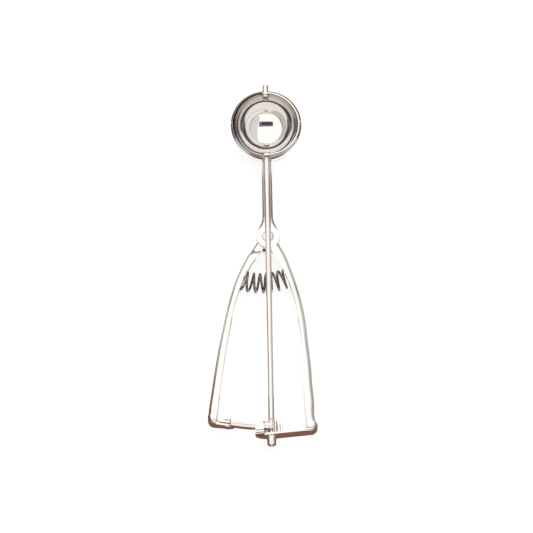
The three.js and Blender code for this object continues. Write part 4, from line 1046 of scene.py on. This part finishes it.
finished("rack_web", *loft(rack_root()), *RACK, bevel=CUT_EDGE)

RACK_RIVET_X, RACK_RIVET_Z, RACK_RIVET_RADIUS, RACK_RIVET_HEAD = -24.1, 7.4, 1.2, 2.2
TAIL_LOW, TAIL_HIGH, RACK_RIVET_EDGE = -0.7, -0.3, 0.2
foot = np.array([RACK_RIVET_X, underside(squeeze_arm, RACK_RIVET_X), RACK_RIVET_Z])
across = np.array([-math.sin(TAB_SLOPE), math.cos(TAB_SLOPE), 0])
turned_piece("rack_rivet_head", rivet_profile(
    (RACK_RIVET_HEAD, TAIL_LOW, TAIL_HIGH), RACK_RIVET_RADIUS,
    (RACK_RIVET_HEAD, 2 * SHEET + 2 * GAP, HEAD_HEIGHT), RACK_RIVET_EDGE),
    along_line(foot, foot + across), turned_steel, "squeeze", "rivet_steel", ["rack_rivet"],
    sides=48)

# %% [markdown]
# ## Floor, light and reflections
# Polished steel shows its surroundings, so the surroundings are designed. The table is white
# and soft light comes from above. The rest is a room that only mirrors see: a bright ceiling,
# a wall on each side whose colour changes along the scoop and pales upwards, two low strips
# at the horizon, coloured cards on the table for the sides that lean outwards, and a dark
# window straight behind the camera, which shows in the bottom of the bowl. They light nothing
# and throw no shadow. An image of a room would be quicker, but each band on the steel could not
# be put in its place then.

# %% Floor and world
TABLE, TABLE_HALF = -0.0002, 3.0
PAPER_SHINE, SHINE_SHARE, ROOM_LIGHT = 1.1, 0.8, 0.55


def flat_card(name, corners, material):
    """A single quad through four given points, in metres."""
    mesh = bpy.data.meshes.new(name)
    mesh.from_pydata([tuple(corner) for corner in corners], [], [(0, 1, 2, 3)])
    mesh.materials.append(material)
    made = linked(name, mesh)
    print(name, "is staged")
    return made


def floor_material():
    """White paper: to the camera, to mirrors and through glass most of it shines as white and
    the rest is lit paper, so that the shadow stays faint; other rays meet plain paper."""
    material, tree = blank_material("white_paper_table")
    paper = node(tree, "ShaderNodeBsdfDiffuse", {"Color": linear("F4F3F1")})
    rays = node(tree, "ShaderNodeLightPath")
    seen = node(tree, "ShaderNodeMath", {
        0: rays.outputs["Is Camera Ray"], 1: rays.outputs["Is Glossy Ray"]}, operation="ADD")
    seen = node(tree, "ShaderNodeMath", {
        0: seen.outputs[0], 1: rays.outputs["Is Transmission Ray"]}, operation="ADD")
    share = node(tree, "ShaderNodeMath", {0: seen.outputs[0], 1: SHINE_SHARE},
                 operation="MULTIPLY")
    shine = node(tree, "ShaderNodeEmission", {"Color": (1, 1, 1, 1), "Strength": PAPER_SHINE})
    both = node(tree, "ShaderNodeMixShader", {
        0: share.outputs[0], 1: paper.outputs[0], 2: shine.outputs[0]})
    node(tree, "ShaderNodeOutputMaterial", {"Surface": both.outputs[0]})
    return material


flat_card("table", [(a * TABLE_HALF, b * TABLE_HALF, TABLE)
                    for a, b in ((-1, -1), (1, -1), (1, 1), (-1, 1))], floor_material())

world = bpy.data.worlds.new("white_room")
bpy.context.scene.world = world
world.use_nodes = True
world.node_tree.nodes.clear()
rays = node(world.node_tree, "ShaderNodeLightPath")
level = node(world.node_tree, "ShaderNodeMapRange", {
    "Value": rays.outputs["Is Diffuse Ray"], "To Min": 1.0, "To Max": ROOM_LIGHT})
sky = node(world.node_tree, "ShaderNodeBackground", {
    "Color": (1, 1, 1, 1), "Strength": level.outputs["Result"]})
node(world.node_tree, "ShaderNodeOutputWorld", {"Surface": sky.outputs["Background"]})

# %% Lamp
LAMP_SIDE, LAMP_POWER, LAMP_PLACE = 1.0, 9.0, (0.15, 0.35, 0.9)
lamp = bpy.data.lights.new("overhead_softbox", "AREA")
lamp.shape = "RECTANGLE"
lamp.size, lamp.size_y = LAMP_SIDE, LAMP_SIDE
lamp.energy = LAMP_POWER
softbox = linked("overhead_softbox", lamp)
softbox.location = LAMP_PLACE
softbox.rotation_euler = Vector(softbox.location).to_track_quat("Z", "Y").to_euler()
softbox.visible_glossy = False

# %% Reflection cards
LOOK_AT = Vector((0.00359, 0.00165, 0.008))
ELEVATION = math.radians(68.1)
bowl_centre = Vector(placed([0, 0, BOWL_HEIGHT]))
to_camera = Vector((0, -math.cos(ELEVATION), math.sin(ELEVATION)))
to_top = Vector((0, math.sin(ELEVATION), math.cos(ELEVATION)))


def reflection_card(name, centre, facing, width, height, code, strength=1.0, up=(0, 0, 1)):
    """A glowing rectangle that only mirrors see: its normal points along facing."""
    normal = Vector(facing).normalized()
    right = Vector(up).cross(normal).normalized()
    over = normal.cross(right)
    corners = [Vector(centre) + right * (a * width / 2) + over * (b * height / 2)
               for a, b in ((-1, -1), (1, -1), (1, 1), (-1, 1))]
    material, tree = blank_material(name)
    glow = node(tree, "ShaderNodeEmission", {"Color": linear(code), "Strength": strength})
    node(tree, "ShaderNodeOutputMaterial", {"Surface": glow.outputs["Emission"]})
    made = flat_card(name, corners, material)
    for kind in ("camera", "diffuse", "shadow", "transmission", "volume_scatter"):
        setattr(made, "visible_" + kind, False)
    return tree, glow


def side_wall(name, x, span, stops, fade, top, high_code):
    """A card beside the scoop. Its colour changes along Y through the stops (place in metres,
    hex), and goes over to the high colour as Z rises through the two heights of fade."""
    front, back = span
    tree, glow = reflection_card(name, (x, (front + back) / 2, top / 2), (-x, 0, 0),
                                 back - front, top, high_code)
    place = node(tree, "ShaderNodeTexCoord").outputs["Object"]
    place = node(tree, "ShaderNodeSeparateXYZ", {"Vector": place})
    along = node(tree, "ShaderNodeMapRange", {
        "Value": place.outputs["Y"], "From Min": front, "From Max": back})
    ramp = node(tree, "ShaderNodeValToRGB", {"Fac": along.outputs["Result"]})
    while len(ramp.color_ramp.elements) < len(stops):
        ramp.color_ramp.elements.new(0.5)
    for element, (y, code) in zip(ramp.color_ramp.elements, stops):
        element.position = (y - front) / (back - front)
        element.color = linear(code)
    rise = node(tree, "ShaderNodeMapRange", {
        "Value": place.outputs["Z"], "From Min": fade[0], "From Max": fade[1]},
        interpolation_type="SMOOTHSTEP")
    colour = colour_mix(tree, rise.outputs["Result"], ramp.outputs["Color"], linear(high_code))
    tree.links.new(colour, glow.inputs["Color"])


# %% Above and behind the camera
WINDOW_DROP, WINDOW_SIZE = 0.09, (0.92, 0.32)
HEART_SHIFT, HEART_SIZE, HEART_NEARER = Vector((-0.06, 0, -0.03)), (0.66, 0.15), 0.01
reflection_card("bright_ceiling", (0, 0.1, 2.2), (0, 0, -1), 8.0, 8.0, "FFFDFA", 1.4,
                up=(0, 1, 0))
window_middle = bowl_centre + to_camera - to_top * WINDOW_DROP
reflection_card("dark_window", window_middle, -to_camera, *WINDOW_SIZE, "83848F")
reflection_card("window_heart", window_middle - to_camera * HEART_NEARER + HEART_SHIFT,
                -to_camera, *HEART_SIZE, "42434C")

# %% On the table
GROUND, EDGE = -0.0001, 0.25
for name, left, right, low, high, code in (
        ("brown_ground_front", -EDGE, EDGE, -0.125, -0.087, "8A6353"),
        ("grey_ground_rack", -0.030, 0.030, -0.087, -0.070, "A49A94"),
        ("brown_ground_left", -EDGE, -0.030, -0.087, -0.055, "7A5546"),
        ("tan_ground_left", -EDGE, -0.028, -0.055, -0.03, "A08578"),
        ("pale_ground_left", -EDGE, -0.019, -0.03, 0.03, "D8D5CE"),
        ("pale_ground_bowl_left", -EDGE, -0.030, 0.03, 0.062, "D8D5CE"),
        ("grey_ground_right", 0.030, EDGE, -0.087, -0.03, "BFB6B7"),
        ("pale_ground_right", 0.0285, EDGE, -0.03, 0.03, "D3D0CA"),
        ("pale_ground_bowl_right", 0.0395, EDGE, 0.03, 0.062, "D3D0CA"),
        ("pale_ground_pivot_left", -0.019, -0.006, -0.03, 0.03, "D8D5CE"),
        ("pale_ground_pivot_right", 0.0155, 0.0285, -0.03, 0.03, "D3D0CA"),
        ("mauve_ground_shank", -0.030, 0.0395, 0.03, 0.062, "7C665E"),
        ("grey_ground_bowl_left", -EDGE, -0.024, 0.062, 0.104, "6E6766"),
        ("grey_ground_bowl_right", 0.034, EDGE, 0.062, 0.104, "6E6766"),
        ("grey_ground_top", -EDGE, EDGE, 0.106, 0.35, "5F5856")):
    reflection_card(name, ((left + right) / 2, (low + high) / 2, GROUND), (0, 0, 1),
                    right - left, high - low, code, up=(0, 1, 0))

# %% Round the scoop
WALL_DISTANCE = 0.17
BESIDE, BEHIND = (-0.25, 0.11), (0.11, 0.40)
side_wall("brown_wall_left", -WALL_DISTANCE, BESIDE,
          [(-0.01, "6E4B3E"), (0.02, "9A8276"), (0.05, "D0CCC6"), (0.078, "D0CCC6"),
           (0.095, "857068")], (0.05, 0.13), 0.13, "F4F1EE")
side_wall("grey_wall_right", WALL_DISTANCE, BESIDE,
          [(-0.01, "B3A9AB"), (0.03, "C6C2BF"), (0.078, "CFCCC7"), (0.095, "8C7A74")],
          (0.06, 0.16), 0.30, "F2F0EE")
side_wall("dim_wall_left", -WALL_DISTANCE, BEHIND, [(0.12, "CFCBC5"), (0.30, "D6D2CD")],
          (0.03, 0.13), 0.13, "F4F1EE")
side_wall("dim_wall_right", WALL_DISTANCE, BEHIND, [(0.12, "CBC7C3"), (0.30, "D2CECA")],
          (0.04, 0.16), 0.30, "F2F0EE")
reflection_card("horizon_front", (0, -0.7, 0.1), (0, 1, 0), 1.6, 0.2, "75655F")
reflection_card("horizon_back", (0, 0.7, 0.06), (0, -1, 0), 1.6, 0.12, "7C726F")

# %% [markdown]
# ## Camera
# The photograph was taken from far away and about 68 degrees above the table, with the scoop a
# degree off upright. A long lens at six metres gives the same flat view.

# %% Camera
DISTANCE, FRAME_WIDTH, SENSOR = 6.0, 0.29315, 36.0
ROLL = math.radians(1.03)
to_right = Vector((1, 0, 0))
camera_right = to_right * math.cos(ROLL) - to_top * math.sin(ROLL)
camera_up = to_top * math.cos(ROLL) + to_right * math.sin(ROLL)
lens = bpy.data.cameras.new("long_lens")
lens.sensor_width = SENSOR
lens.lens = SENSOR * DISTANCE / FRAME_WIDTH
lens.clip_start, lens.clip_end = 0.05, 50
camera = linked("camera", lens)
turn = Matrix([camera_right, camera_up, to_camera]).transposed().to_4x4()
camera.matrix_world = Matrix.Translation(LOOK_AT + to_camera * DISTANCE) @ turn
bpy.context.scene.camera = camera
bpy.context.scene.view_settings.view_transform = "Standard"
